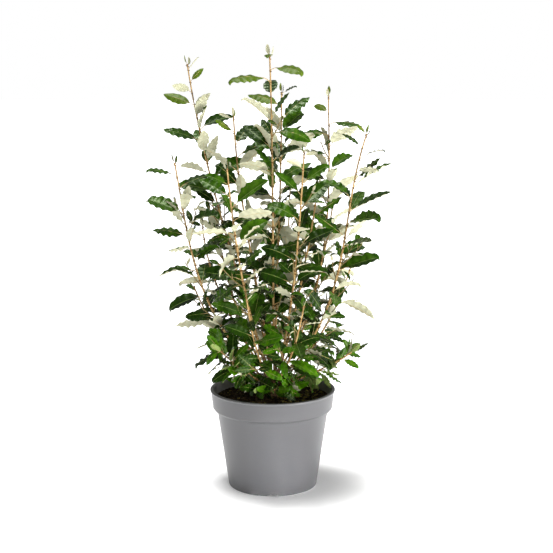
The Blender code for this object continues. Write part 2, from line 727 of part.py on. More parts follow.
def leaves_along(taken, limb, points, size, chance):
    """Leaves set spirally down a limb, closer to it and smaller towards its tip."""
    leaves = []
    distances = measured(points)
    total = distances[-1]
    internode = INTERNODE * size
    shown = shown_leaves(limb, internode)
    turn = chance.uniform(0.0, 360.0)
    from_tip = shown.first
    hours = list(shown.hours)
    while from_tip < total - internode * FIRST_LEAF_SHARE:
        turn += LEAF_TURN + chance.uniform(-LEAF_TURN_PLAY, LEAF_TURN_PLAY)
        play = chance.uniform(-HOUR_PLAY, HOUR_PLAY)
        hour = hours.pop(0) if hours else None
        if hour:
            turn = 90.0 - hour * HOUR_TURN + play
        share = 1.0 - from_tip / total
        pose = leaf_pose(share, min(1.0, from_tip / shown.young), size, chance)
        root, direction = along_line(points, distances, share * total)
        leaf = None
        if hour != 0:
            leaf = settle_leaf(taken, limb, root, direction, turn, pose)
        if leaf:
            taken.add(limb, leaf_corners(leaf), LEAF_FACES)
            leaves.append(leaf)
        from_tip += internode * (1.0 + chance.uniform(-INTERNODE_PLAY, INTERNODE_PLAY))
    return leaves


def shown_leaves(limb, internode):
    """The sides that a limb's leaves are seen to take, or a plain spiral from its tip."""
    for shown in SHOWN_LEAVES:
        if shown.shoot == limb:
            return shown
    return ShownLeaves(limb, internode * LAST_LEAF_SHARE, YOUNG_STRETCH, ())


def measured(points):
    """Distance along a line to each of its points."""
    distances = [0.0]
    for first, second in zip(points, points[1:]):
        distances.append(distances[-1] + (second - first).length)
    return distances


def twig_points(root, direction, azimuth, length):
    """Centre line of a side twig that leaves its stem and curves up."""
    reference = outward(azimuth)
    out = (reference - direction * reference.dot(direction)).normalized()
    start = math.radians(TWIG_ANGLE)
    bend = math.radians(TWIG_BEND)
    points = [root]
    steps = 3
    for step in range(steps):
        angle = start - bend * (step + 0.5) / steps
        heading = direction * math.cos(angle) + out * math.sin(angle)
        points.append(points[-1] + heading * (length / steps))
    return points


def twigs_of(shoot, stem_length, chance):
    """Places, azimuths and lengths of a shoot's side twigs: those shown, then the rule's."""
    rows = [twig[1:] for twig in SHOWN_TWIGS if twig.shoot == shoot.name]
    if rows or shoot.bare == 0.0:
        return rows
    places = TWIG_PLACES if stem_length > TWIG_STEM_LENGTH else TWIG_PLACES[:2]
    for place in places:
        azimuth = shoot.azimuth + chance.uniform(-TWIG_TURN_PLAY, TWIG_TURN_PLAY)
        play = chance.uniform(-TWIG_LENGTH_PLAY, TWIG_LENGTH_PLAY)
        rows.append((place, azimuth, TWIG_LENGTH * (1.0 + play)))
    return rows


def plan_shoot(shoot):
    """A shoot's limbs: the bough's points, if it has one, and the stem's."""
    points, distances = shoot_line(shoot)
    stem_start = 0.0
    bough = None
    if shoot.bare:
        bough = stretch(points, distances, 0.0, shoot.bare, BOUGH_SEGMENT)
        stem_start = shoot.bare + GAP
    stem = stretch(points, distances, stem_start, distances[-1], STEM_SEGMENT)
    return bough, stem


def grow(shoot, stem, taken):
    """The parts of one mass: its twigs as (points, radii) and its leaves."""
    chance = random.Random(f"{SEED} {shoot.name}")
    distances = measured(stem)
    twigs = []
    for index, (place, azimuth, length) in enumerate(twigs_of(shoot, distances[-1], chance)):
        root, direction = along_line(stem, distances, place * distances[-1])
        line = twig_points(root, direction, azimuth, length)
        start = line[0].lerp(line[1], TWIG_GUARD_START)
        corners, faces = prism(start, line[-1], TWIG_FOOT_RADIUS * TWIG_GUARD_SWELL)
        if taken.touches(corners, faces, skip=(shoot.name,)):
            continue
        name = f"{shoot.name} twig {index}"
        radii = tapering(TWIG_FOOT_RADIUS, TWIG_TIP_RADIUS, len(line))
        taken.add_limb(name, line, radii)
        twigs.append((name, line, radii))
    leaves = leaves_along(taken, shoot.name, stem, shoot.leaf_share, chance)
    leaves += tip_leaves(taken, shoot.name, stem, shoot.leaf_share, chance)
    for name, line, _ in twigs:
        leaves += leaves_along(taken, name, line, shoot.leaf_share * TWIG_LEAF_SHARE, chance)
    return twigs, leaves


def body_of(vert, unseen):
    """Takes the vertices joined to one vertex out of the unseen ones."""
    body = [vert]
    waiting = [vert]
    while waiting:
        for edge in waiting.pop().link_edges:
            for other in edge.verts:
                if other in unseen:
                    unseen.remove(other)
                    body.append(other)
                    waiting.append(other)
    return body


def tidy_union(mesh):
    """Keeps a mesh's largest body, in triangles, and says whether it is closed."""
    form = bmesh.new()
    form.from_mesh(mesh)
    unseen = set(form.verts)
    bodies = []
    while unseen:
        bodies.append(body_of(unseen.pop(), unseen))
    bodies.sort(key=len)
    scraps = [vert for body in bodies[:-1] for vert in body]
    bmesh.ops.delete(form, geom=scraps, context="VERTS")
    bmesh.ops.triangulate(form, faces=form.faces)
    closed = all(edge.is_manifold for edge in form.edges)
    form.to_mesh(mesh)
    form.free()
    return closed


def fuse(thing, pieces):
    """Joins an object with loose pieces by one Boolean union, and removes the pieces."""
    group = new_collection(f"{thing.name}_pieces")
    for index, mesh in enumerate(pieces):
        mesh_object(f"{thing.name}_piece_{index}", mesh, group)
    limb = thing.data.copy()
    for solver in ("EXACT", "MANIFOLD"):
        thing.data = limb.copy()
        union = thing.modifiers.new("union", "BOOLEAN")
        union.operation = "UNION"
        union.operand_type = "COLLECTION"
        union.collection = group
        union.solver = solver
        bpy.context.view_layer.objects.active = thing
        bpy.ops.object.modifier_apply(modifier=union.name)
        if tidy_union(thing.data):
            break
    for piece in list(group.objects):
        bpy.data.objects.remove(piece, do_unlink=True)
    bpy.data.collections.remove(group)


def make_plant(group):
    """The trunk, the boughs and the masses of foliage."""
    bark = finish("bark", (0.32, 0.20, 0.10), 0.75)
    green = finish("foliage", (0.045, 0.115, 0.025), 0.38)
    make_trunk(group, bark)
    taken = Taken()
    pot_steps = 3 * POT_STEPS
    taken.add("pot", *turned_profile(pot_profile(), pot_steps))
    taken.add("soil", *turned_profile(soil_surface(), pot_steps))
    trunk_points = [trunk_centre(TRUNK_FOOT_HEIGHT), trunk_centre(TRUNK_TOP_HEIGHT)]
    taken.add_limb("trunk", trunk_points, [TRUNK_RADIUS, TRUNK_RADIUS])
    plans = []
    for shoot in SHOOTS:
        bough, stem = plan_shoot(shoot)
        if bough:
            radii = tapering(BOUGH_FOOT_RADIUS, BOUGH_TIP_RADIUS, len(bough))
            mesh = limb_mesh("bough", bough, radii, BOUGH_SIDES)
            mesh_object(f"bough_{shoot.name}", mesh, group, bark)
            taken.add_limb(f"bough {shoot.name}", bough, radii)
        radii = tapering(stem_radius(shoot), STEM_TIP_RADIUS, len(stem))
        taken.add_limb(shoot.name, stem, radii)
        plans.append((shoot, stem, radii))
    for shoot, stem, radii in plans:
        twigs, leaves = grow(shoot, stem, taken)
        swollen = [radius * TRIANGLE_SWELL for radius in radii]
        name = f"foliage_{shoot.name}"
        mass = mesh_object(name, limb_mesh(name, stem, swollen, FOLIAGE_SIDES), group, green)
        pieces = [limb_mesh("twig", line, sizes, FOLIAGE_SIDES) for _, line, sizes in twigs]
        pieces += [leaf_mesh(leaf) for leaf in leaves]
        fuse(mass, pieces)


def main():
    """Builds the potted plant."""
    clear_scene()
    group = new_collection(COLLECTION_NAME)
    cutters = new_collection(CUTTER_COLLECTION_NAME)
    make_pot(group, cutters)
    make_soil(group)
    make_plant(group)


main()
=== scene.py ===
"""Looks of a potted elaeagnus: a shrub with silver-backed wavy leaves in a grey nursery pot.

The limbs and the main leaves are grown again here by the rule that shapes the solids, and
the same rule is carried on to finer twigs. The pot, the soil and the bark get their own
detailed meshes. Everything is in metres, with +Z up and the pot's underside at the origin.
"""

import logging
import math
import random
from collections import Counter
from collections.abc import Iterator, Sequence
from contextlib import contextmanager
from dataclasses import dataclass, field, replace
from enum import Enum, IntEnum

import bpy
import numpy as np
from mathutils import Matrix, Vector, noise
from mathutils.bvhtree import BVHTree


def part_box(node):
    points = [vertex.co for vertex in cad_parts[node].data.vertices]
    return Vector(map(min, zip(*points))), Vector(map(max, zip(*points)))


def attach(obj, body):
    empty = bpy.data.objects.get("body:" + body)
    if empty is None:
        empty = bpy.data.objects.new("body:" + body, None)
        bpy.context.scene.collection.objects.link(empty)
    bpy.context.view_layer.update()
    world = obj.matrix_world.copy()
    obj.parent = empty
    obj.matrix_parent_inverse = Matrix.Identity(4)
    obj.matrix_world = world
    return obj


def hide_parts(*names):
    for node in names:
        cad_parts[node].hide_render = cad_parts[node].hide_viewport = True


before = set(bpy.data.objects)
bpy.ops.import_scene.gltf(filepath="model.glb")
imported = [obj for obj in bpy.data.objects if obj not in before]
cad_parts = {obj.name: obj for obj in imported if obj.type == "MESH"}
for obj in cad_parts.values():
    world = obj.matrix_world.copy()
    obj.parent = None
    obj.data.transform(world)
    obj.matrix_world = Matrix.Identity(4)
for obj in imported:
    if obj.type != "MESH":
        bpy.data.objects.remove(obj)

LOG = logging.getLogger("potted_elaeagnus")

Span = tuple[float, float]
Triple = tuple[float, float, float]
Profile = list[Span]
Faces = list[tuple[int, ...]]
Line = list[Vector]
Pattern = tuple[np.ndarray, Faces, list[int]]

BODY = "root"
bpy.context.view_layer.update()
POT_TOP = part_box("pot")[1]
SOIL_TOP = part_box("soil")[1]
SEED = 41
GAP = 0.0003
MERGE = 0.00002
FULL_TURN = 360.0
WHITE = (1.0, 1.0, 1.0, 1.0)


class Slot(Enum):
    """Material slots of the record."""

    POT = "pot"
    SOIL = "soil"
    BARK = "bark"
    FOLIAGE = "foliage"


class LeafKind(Enum):
    """Kinds of leaf by age and tone, each with its own green; the deep green is partly painted shade, dealt
    out mostly near the axis.
    """

    DEEP = "deep"
    MATURE = "mature"
    MIDDLE = "middle"
    YOUNG = "young"
    BRIGHT = "bright"


class View(Enum):
    """How a leaf near a tip is seen, by its letter in the list of shown leaves."""

    TOP = "t"
    UNDERSIDE = "u"
    SIDE = "s"
    OVER = "a"
    BARE = "-"


class Grain(Enum):
    """How a finish's mottle is stretched: even all ways, or drawn out upwards."""

    EVEN = (1.0, 1.0, 1.0)
    UPRIGHT = (1.0, 1.0, 0.22)


class PotFace(IntEnum):
    """Kinds of face of the pot, in the order of its finishes."""

    OUTSIDE = 0
    INSIDE = 1
    LIP = 2
    ARCH = 3


# Finishes
def object_place(tree: bpy.types.NodeTree) -> bpy.types.NodeSocket:
    """Socket that gives the place on the object."""
    return tree.nodes.new("ShaderNodeTexCoord").outputs["Object"]


def carry_over(tree: bpy.types.NodeTree, value: bpy.types.NodeSocket, given: Span, wanted: Span,
               target: bpy.types.NodeSocket, blend: str = "LINEAR") -> None:
    """Links a value to a socket, carried over from one range to another.

    Args:
        tree: The node tree.
        value: The socket that gives the value.
        given: The range that it has.
        wanted: The range that it gets.
        target: The socket that takes it.
        blend: How it goes from one end to the other.
    """
    scale = tree.nodes.new("ShaderNodeMapRange")
    scale.interpolation_type = blend
    for name, limit in zip(("From Min", "From Max", "To Min", "To Max"), (*given, *wanted)):
        scale.inputs[name].default_value = limit
    tree.links.new(value, scale.inputs["Value"])
    tree.links.new(scale.outputs["Result"], target)


@dataclass(frozen=True)
class Relief:
    """Fine relief of a surface: how strong it shows, its cells a metre and its depth."""

    strength: float
    scale: float
    depth: float = 0.0004


@dataclass(frozen=True)
class Finish:
    """A surface: two near colours mixed by a mottle, its gloss and its fine relief."""

    name: str
    colour: Triple
    second: Triple
    roughness: float
    mottle_scale: float = 60.0
    relief: Relief | None = None
    grain: Grain = Grain.EVEN
    specular: float = 0.5
    tint: Triple = (1.0, 1.0, 1.0)
    mottle: Span = (0.35, 0.65)
    roughness_play: float = 0.06

    def material(self) -> bpy.types.Material:
        """Builds the finish's node tree.

        Returns:
            The new material.
        """
        material = bpy.data.materials.new(self.name)
        material.use_nodes = True
        tree = material.node_tree
        shader = tree.nodes["Principled BSDF"].inputs
        shader["Specular IOR Level"].default_value = self.specular
        shader["Specular Tint"].default_value = (*self.tint, 1.0)
        stretched = tree.nodes.new("ShaderNodeMapping")
        stretched.inputs["Scale"].default_value = self.grain.value
        tree.links.new(object_place(tree), stretched.inputs["Vector"])
        mottle = self.noise(stretched, self.mottle_scale, 4.0)
        mix = tree.nodes.new("ShaderNodeMix")
        mix.data_type = "RGBA"
        mix.inputs["A"].default_value = (*self.colour, 1.0)
        mix.inputs["B"].default_value = (*self.second, 1.0)
        carry_over(tree, mottle, self.mottle, (0.0, 1.0), mix.inputs["Factor"])
        tree.links.new(mix.outputs["Result"], shader["Base Color"])
        gloss = (self.roughness - self.roughness_play, self.roughness + self.roughness_play)
        carry_over(tree, mottle, (0.0, 1.0), gloss, shader["Roughness"])
        if self.relief:
            bump = tree.nodes.new("ShaderNodeBump")
            bump.inputs["Strength"].default_value = self.relief.strength
            bump.inputs["Distance"].default_value = self.relief.depth
            tree.links.new(self.noise(stretched, self.relief.scale, 3.0), bump.inputs["Height"])
            tree.links.new(bump.outputs["Normal"], shader["Normal"])
        return material

    @staticmethod
    def noise(place: bpy.types.Node, scale: float, detail: float) -> bpy.types.NodeSocket:
        """Adds a noise pattern to a node tree.

        Args:
            place: The node that gives the place.
            scale: Its scale, in cells a metre.
            detail: Its octaves.

        Returns:
            The pattern's value socket.
        """
        tree = place.id_data
        pattern = tree.nodes.new("ShaderNodeTexNoise")
        pattern.inputs["Scale"].default_value = scale
        pattern.inputs["Detail"].default_value = detail
        tree.links.new(place.outputs["Vector"], pattern.inputs["Vector"])
        return pattern.outputs["Fac"]


SHEEN = (0.82, 1.0, 0.55)
QUILTED = {"relief": Relief(0.60, 300.0, 0.0011), "specular": 0.21, "tint": SHEEN}
DRY = {"relief": Relief(0.35, 1500.0), "grain": Grain.UPRIGHT, "specular": 0.08}
POT_GREY = Finish("pot_grey", (0.074, 0.074, 0.0775), (0.0805, 0.0805, 0.0842), 0.42, 14.0,
                  Relief(0.10, 900.0, 0.0002), specular=0.42)
# Painted sheen: the lip's grey is lighter than the body's, standing in for the bright surround reflected
# along the lip.
POT_LIP_PAINTED_SHEEN = Finish("pot_lip_grey", (0.114, 0.114, 0.119), (0.100, 0.100, 0.105), 0.34, 14.0)
# Painted light: the notch faces are near white, standing in for the lit floor seen under the drainage arches.
POT_ARCH_PAINTED_LIGHT = Finish("pot_arch_grey", (0.620, 0.620, 0.630), (0.540, 0.540, 0.550), 0.50, 14.0, specular=0.4)
# Painted light: the inner wall's grey is lighter than the outside grey, lifting the shade inside the pot.
POT_INSIDE_PAINTED_LIGHT = Finish("pot_inside_grey", (0.165, 0.166, 0.168), (0.118, 0.116, 0.110), 0.60, 40.0,
                    Relief(0.15, 500.0), specular=0.3)
SOIL_DARK = Finish("soil_dark", (0.007, 0.0048, 0.0018), (0.026, 0.0165, 0.007), 0.95, 260.0,
                   Relief(0.9, 900.0, 0.0015), specular=0.1)
SOIL_CRUMB = Finish("soil_crumb", (0.012, 0.008, 0.004), (0.060, 0.042, 0.022), 0.92, 200.0,
                    Relief(0.7, 1200.0, 0.0008), specular=0.1)
MOSS = Finish("moss", (0.260, 0.195, 0.055), (0.080, 0.080, 0.022), 0.95, 200.0,
              Relief(0.6, 1500.0, 0.0006), specular=0.1)
FIBRE = Finish("soil_fibre", (0.160, 0.095, 0.040), (0.070, 0.040, 0.018), 0.85, 300.0,
               Relief(0.4, 1200.0), specular=0.1)
BARK = Finish("bark_brown", (0.215, 0.135, 0.070), (0.100, 0.062, 0.032), 0.80, 380.0,
              Relief(0.7, 1100.0, 0.0006), Grain.UPRIGHT, 0.15)
STEM_TAN = Finish("stem_tan", (0.430, 0.285, 0.120), (0.290, 0.175, 0.066), 0.62, 260.0, **DRY)
STEM_OLIVE = Finish("stem_olive", (0.220, 0.165, 0.070), (0.110, 0.086, 0.034), 0.66, 260.0, **DRY)
NODE_BROWN = Finish("node_brown", (0.160, 0.085, 0.028), (0.085, 0.042, 0.014), 0.70, 500.0,
                    Relief(0.4, 1800.0), specular=0.08)
STALK = Finish("stalk_tan", (0.480, 0.350, 0.165), (0.370, 0.260, 0.110), 0.58, 200.0, specular=0.08)
MIDRIB = Finish("leaf_midrib", (0.110, 0.170, 0.035), (0.070, 0.120, 0.020), 0.42, 200.0, specular=0.12)
SILVER = Finish("leaf_underside_silver", (0.465, 0.460, 0.322), (0.385, 0.385, 0.258), 0.62, 130.0,
                Relief(0.28, 450.0, 0.0008), specular=0.08)
SOFT_GREEN = Finish("leaf_underside_green", (0.210, 0.280, 0.085), (0.160, 0.225, 0.055), 0.55, 160.0,
                    Relief(0.10, 900.0, 0.0003), specular=0.10)
TOPS = {
    LeafKind.DEEP: Finish("leaf_deep_green", (0.0050, 0.0200, 0.0004), (0.0115, 0.038, 0.0010),
                          0.26, 70.0, **QUILTED),
    LeafKind.MATURE: Finish("leaf_mature_green", (0.009, 0.035, 0.0006), (0.032, 0.088, 0.0028),
                            0.26, 80.0, **QUILTED),
    LeafKind.MIDDLE: Finish("leaf_middle_green", (0.015, 0.052, 0.0010), (0.046, 0.112, 0.0040),
                            0.26, 80.0, **QUILTED),
    LeafKind.YOUNG: Finish("leaf_young_olive", (0.054, 0.100, 0.004), (0.096, 0.148, 0.013),
                           0.40, 120.0, Relief(0.20, 500.0, 0.0005), specular=0.12, tint=SHEEN),
    LeafKind.BRIGHT: Finish("leaf_bright_green", (0.018, 0.074, 0.0006), (0.062, 0.165, 0.0022),
                            0.28, 75.0, Relief(0.40, 380.0, 0.0008), specular=0.17, tint=SHEEN),
}
FLOOR_WHITE = Finish("floor_white", (0.90, 0.90, 0.90), (0.90, 0.90, 0.90), 0.90, 10.0, specular=0.0)


# Modelling helpers
def take_up(piece: bpy.types.Object | None = None) -> None:
    """Leaves object mode with one piece selected and active, or with nothing selected.

    Args:
        piece: The object, if any.
    """
    if bpy.context.mode != "OBJECT":
        bpy.ops.object.mode_set(mode="OBJECT")
    bpy.ops.object.select_all(action="DESELECT")
    if piece:
        piece.select_set(True)
        bpy.context.view_layer.objects.active = piece


@contextmanager
def picked(piece: bpy.types.Object, wanted: set[int] | None = None) -> Iterator[None]:
    """Takes a piece up in edit mode, with some of its vertices selected or all of them.

    Args:
        piece: The object.
        wanted: Indexes of the vertices, or None for all.

    Yields:
        Nothing.
    """
    take_up(piece)
    bpy.ops.object.mode_set(mode="EDIT")
    bpy.ops.mesh.select_all(action="SELECT" if wanted is None else "DESELECT")
    if wanted is not None:
        bpy.ops.object.mode_set(mode="OBJECT")
        for index in wanted:
            piece.data.vertices[index].select = True
        bpy.ops.object.mode_set(mode="EDIT")
    yield
    bpy.ops.object.mode_set(mode="OBJECT")


def close_up(piece: bpy.types.Object, merge: float = 0.0) -> None:
    """Merges a piece's doubled vertices and points its faces outwards.

    Args:
        piece: The object.
        merge: How far apart doubled vertices may be.
    """
    with picked(piece):
        if merge:
            bpy.ops.mesh.remove_doubles(threshold=merge)
        bpy.ops.mesh.normals_make_consistent(inside=False)


def name_piece(name: str) -> bpy.types.Object:
    """Names the object that an operator has just added, and hands it on.

    Args:
        name: The name.

    Returns:
        The object.
    """
    piece = bpy.context.active_object
    piece.name = piece.data.name = name
    return piece


def settle(piece: bpy.types.Object) -> None:
    """Moves a piece's place, turn and scale into its mesh."""
    take_up(piece)
    bpy.ops.object.transform_apply(location=True, rotation=True, scale=True)


def apply_all(piece: bpy.types.Object) -> None:
    """Applies a piece's modifiers, from first to last.

    Args:
        piece: The object.
    """
    take_up(piece)
    for modifier in list(piece.modifiers):
        bpy.ops.object.modifier_apply(modifier=modifier.name)


def place_new(name: str, data: bpy.types.ID) -> bpy.types.Object:
    """Adds an object to the scene round its data, and hands it on.

    Args:
        name: Its name.
        data: Its data.

    Returns:
        The object.
    """
    piece = bpy.data.objects.new(name, data)
    bpy.context.scene.collection.objects.link(piece)
    return piece


def dress(piece: bpy.types.Object, finishes: Sequence[Finish], sharp: float,
          nodes: Sequence[str] = (), sides: Sequence[int] = ()) -> None:
    """Puts a piece in its finishes, on the body, in place of its solids.

    Args:
        piece: The object.
        finishes: The finishes, in the order of the mesh's material indexes.
        sharp: The angle in degrees from which an edge stays sharp.
        nodes: The solids that it replaces.
        sides: Each face's material index, where there are several finishes.
    """
    piece.data.materials.clear()
    for finish in finishes:
        known = bpy.data.materials.get(finish.name)
        piece.data.materials.append(known or finish.material())
    if sides:
        piece.data.polygons.foreach_set("material_index", sides)
    take_up(piece)
    bpy.ops.object.shade_smooth_by_angle(angle=math.radians(sharp))
    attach(piece, BODY)
    if nodes:
        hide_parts(*nodes)
    LOG.info("%s: %d faces", piece.name, len(piece.data.polygons))


def take_pattern(piece: bpy.types.Object) -> Pattern:
    """Reads a modelled pattern so that copies of it can be set out, and removes it.

    Args:
        piece: The object.

    Returns:
        Its vertices, its faces and the material index of each face.
    """
    corners = np.array([vertex.co[:] for vertex in piece.data.vertices])
    faces = [tuple(face.vertices) for face in piece.data.polygons]
    sides = [face.material_index for face in piece.data.polygons]
    bpy.data.objects.remove(piece, do_unlink=True)
    return corners, faces, sides


@dataclass
class Copies:
    """Copies of small patterns, each in its place, on their way into one mesh."""

    places: list[np.ndarray] = field(default_factory=list)
    faces: Faces = field(default_factory=list)
    sides: list[int] = field(default_factory=list)
    total: int = 0

    def add(self, places: np.ndarray, pattern: Pattern) -> None:
        """Adds one copy.

        Args:
            places: Its vertices in place.
            pattern: The pattern that it is a copy of.
        """
        self.places.append(places)
        self.faces += [tuple(self.total + corner for corner in face) for face in pattern[1]]
        self.sides += pattern[2]
        self.total += len(places)

    def piece(self, name: str) -> bpy.types.Object:
        """Makes the one object of all the copies.

        Args:
            name: Its name.

        Returns:
            The object.
        """
        mesh = bpy.data.meshes.new(name)
        mesh.from_pydata(np.concatenate(self.places).tolist(), [], self.faces)
        return place_new(name, mesh)


def raised_rings(name: str, outline: Profile, sides: int, poked: bool = False) -> bpy.types.Object:
    """Models a round body: a disc that is extruded and resized ring by ring.

    Args:
        name: Its name.
        outline: The (radius, height) of each ring.
        sides: Its sides.
        poked: Whether its last face gets a middle point.

    Returns:
        The object.
    """
    take_up()
    radius, height = outline[0]
    bpy.ops.mesh.primitive_circle_add(
        vertices=sides, radius=radius, fill_type="NGON", location=(0.0, 0.0, height),
    )
    piece = name_piece(name)
    settle(piece)
    with picked(piece):
        for next_radius, next_height in outline[1:]:
            rise = (0.0, 0.0, next_height - height)
            bpy.ops.mesh.extrude_region_move(TRANSFORM_OT_translate={"value": rise})
            scale = next_radius / radius
            bpy.ops.transform.resize(value=(scale, scale, 1.0), center_override=(0.0, 0.0, next_height))
            radius, height = next_radius, next_height
        if poked:
            bpy.ops.mesh.poke()
    close_up(piece)
    return piece


def tubes(name: str, lines: list[tuple[Line, list[float]]], sides: int) -> bpy.types.Object:
    """Makes closed tubes along lines, all in one mesh.

    Args:
        name: The object's name.
        lines: Points and radii of each tube.
        sides: Sides of each tube, an even number from 4.

    Returns:
        The mesh object.
    """
    curve = bpy.data.curves.new(name, "CURVE")
    curve.dimensions = "3D"
    curve.use_fill_caps = True
    curve.bevel_depth = 1.0
    curve.bevel_resolution = sides // 2 - 2
    for points, radii in lines:
        spline = curve.splines.new("POLY")
        spline.points.add(len(points) - 1)
        spline.points.foreach_set("co", [number for point in points for number in (*point, 1.0)])
        spline.points.foreach_set("radius", radii)
    take_up(place_new(name, curve))
    bpy.ops.object.convert(target="MESH")
    piece = bpy.context.active_object
    close_up(piece, MERGE)
    return piece


# Directions and lines
def outward(azimuth: float) -> Vector:
    """Level unit vector towards an azimuth in degrees."""
    angle = math.radians(azimuth)
    return Vector((math.cos(angle), math.sin(angle), 0.0))


def between(span: Span, share: float) -> float:
    """Value at a share of a span, from 0 at its first end to 1 at its last."""
    return span[0] + (span[1] - span[0]) * share


def tapering(first: float, last: float, count: int) -> list[float]:
    """Radii that taper evenly along a limb."""
    return [first + (last - first) * index / (count - 1) for index in range(count)]


class Way:
    """A line through points, with the distance along it to each."""

    def __init__(self, points: Line) -> None:
        """Measures the line.

        Args:
            points: Its points.
        """
        self.points = points
        self.distances = [0.0]
        for first, second in zip(points, points[1:]):
            self.distances.append(self.distances[-1] + (second - first).length)
        self.length = self.distances[-1]

    def at(self, distance: float) -> tuple[Vector, Vector]:
        """Finds a point on the line.

        Args:
            distance: How far along it is.

        Returns:
            The point and the direction there.
        """
        last = len(self.points) - 2
        index = 0
        while index < last and self.distances[index + 1] < distance:
            index += 1
        step = self.points[index + 1] - self.points[index]
        share = (distance - self.distances[index]) / step.length
        return self.points[index] + step * share, step.normalized()

    def stretch(self, start: float, end: float, segment: float) -> Line:
        """Evenly spaced points of the line.

        Args:
            start: Distance to the first point.
            end: Distance to the last point.
            segment: The spacing aimed at.

        Returns:
            The points.
        """
        count = max(2, round((end - start) / segment))
        return [self.at(start + (end - start) * index / count)[0] for index in range(count + 1)]


# Pot
@dataclass
class Pot:
    """The grey nursery pot: a tapering body, a deep plain band and a rounded lip."""

    height: float = POT_TOP.z
    rim_radius: float = POT_TOP.x
    bead: float = 0.0040
    lip_width: float = 0.0050
    lip_step: float = 0.0007
    lip_arc: Span = (90.0, -70.0)
    lip_sheen_share: float = 0.9
    band_top_radius: float = 0.1112
    band_foot_radius: float = 0.1080
    band_foot_height: float = 0.1412
    band_chamfer: float = 0.0036
    band_undercut: float = 0.0030
    band_groove: float = 0.0020
    body_top_radius: float = 0.1000
    base_radius: float = 0.0798
    base_rounding: float = 0.0030
    wall: float = 0.0020
    floor: float = 0.0030
    notch_count: int = 4
    notch_width: float = 0.024
    notch_rise: float = 0.0045
    notch_depth: float = 0.010
    notch_zone: float = 0.012
    notch_sides: int = 96
    arch_low: float = 0.0002
    arch_inset: float = 0.0006
    worn_edge: float = 0.0004
    worn_angle: float = 28.0
    level: float = 0.9
    sides: int = 160

    def slope(self) -> float:
        """How much wider the body gets for its height."""
        return (self.body_top_radius - self.base_radius) / self.band_foot_height

    def inner_radius(self, height: float) -> float:
        """Radius of the inner wall at a height.

        Args:
            height: The height.

        Returns:
            The radius.
        """
        if height <= self.band_foot_height:
            return self.base_radius + self.slope() * height - self.wall
        share = (height - self.band_foot_height) / (self.height - self.band_foot_height)
        top = self.rim_radius - self.lip_width - self.lip_step
        return self.body_top_radius - self.wall + (top - self.body_top_radius + self.wall) * share

    @staticmethod
    def arc(centre: Span, radius: float, angles: Span, steps: int) -> Profile:
        """Points of an arc in the (radius, height) plane.

        Args:
            centre: The arc's centre.
            radius: Its radius.
            angles: Its first and last angle, in degrees.
            steps: Its steps.

        Returns:
            The points.
        """
        points = []
        for step in range(steps + 1):
            angle = math.radians(angles[0] + (angles[1] - angles[0]) * step / steps)
            points.append((centre[0] + radius * math.cos(angle), centre[1] + radius * math.sin(angle)))
        return points

    def profile(self, fine: int = 1) -> Profile:
        """The outline, up the inner wall, over the bead and down the outside.

        Args:
            fine: How many times finer the rounded stretches are than the solid's.

        Returns:
            The (radius, height) points, from the axis back to it.
        """
        half = self.bead / 2.0
        rounding = self.base_rounding
        centre = (self.base_radius + self.slope() * rounding - rounding, rounding)
        return [
            (0.0, self.floor),
            (self.inner_radius(self.floor), self.floor),
            (self.inner_radius(self.band_foot_height), self.band_foot_height),
            (self.inner_radius(self.height - self.bead), self.height - self.bead),
            (self.rim_radius - self.lip_width, self.height),
            *self.arc((self.rim_radius - half, self.height - half), half, self.lip_arc, 4 * fine),
            (self.band_top_radius, self.height - self.bead - self.lip_step),
            (self.band_foot_radius, self.band_foot_height + self.band_chamfer),
            (self.band_foot_radius - self.band_undercut, self.band_foot_height),
            (self.body_top_radius, self.band_foot_height - self.band_groove),
            (self.base_radius + self.slope() * self.notch_zone, self.notch_zone),
            *self.arc(centre, rounding, (0.0, -90.0), 3 * fine),
            (0.0, 0.0),
        ]

    def build(self) -> bpy.types.Object:
        """Models the pot: its rings are raised, then notched, bevelled and dressed.

        Returns:
            The pot.
        """
        pot = raised_rings("nursery_pot", self.profile(fine=2)[::-1][1:-1], self.sides)
        self.cut_notches(pot)
        edge = pot.modifiers.new("worn_edges", "BEVEL")
        edge.width = self.worn_edge
        edge.segments = 2
        edge.limit_method = "ANGLE"
        edge.angle_limit = math.radians(self.worn_angle)
        apply_all(pot)
        sides = [int(self.kind_of(face)) for face in pot.data.polygons]
        dress(pot, (POT_GREY, POT_INSIDE_PAINTED_LIGHT, POT_LIP_PAINTED_SHEEN, POT_ARCH_PAINTED_LIGHT), 30.0, ["pot"], sides)
        return pot

    def cut_notches(self, pot: bpy.types.Object) -> None:
        """Cuts the shallow drainage arches into the pot's foot.

        Args:
            pot: The pot.
        """
        bar_radius = ((self.notch_width / 2.0) ** 2 + self.notch_rise ** 2) / (2.0 * self.notch_rise)
        for index in range(self.notch_count):
            out = outward(FULL_TURN / self.notch_count * index - 90.0)
            bpy.ops.mesh.primitive_cylinder_add(
                vertices=self.notch_sides, radius=bar_radius, depth=2.0 * self.notch_depth,
                location=out * self.base_radius + Vector((0.0, 0.0, self.notch_rise - bar_radius)),
                rotation=out.to_track_quat("Z", "Y").to_euler(),
            )
            bar = name_piece("notch_bar")
            cut = pot.modifiers.new("notch", "BOOLEAN")
            cut.operation = "DIFFERENCE"
            cut.object = bar
            apply_all(pot)
            bpy.data.objects.remove(bar, do_unlink=True)

    def kind_of(self, face: bpy.types.MeshPolygon) -> PotFace:
        """Which kind of face one of the pot's faces is.

        Args:
            face: The face.

        Returns:
            Its kind.
        """
        middle = face.center
        reach = math.hypot(middle.x, middle.y)
        # Painted light: faces inside the drainage arches take the pale arch finish.
        if self.arch_low < middle.z < self.notch_rise and reach < self.base_radius - self.arch_inset:
            return PotFace.ARCH
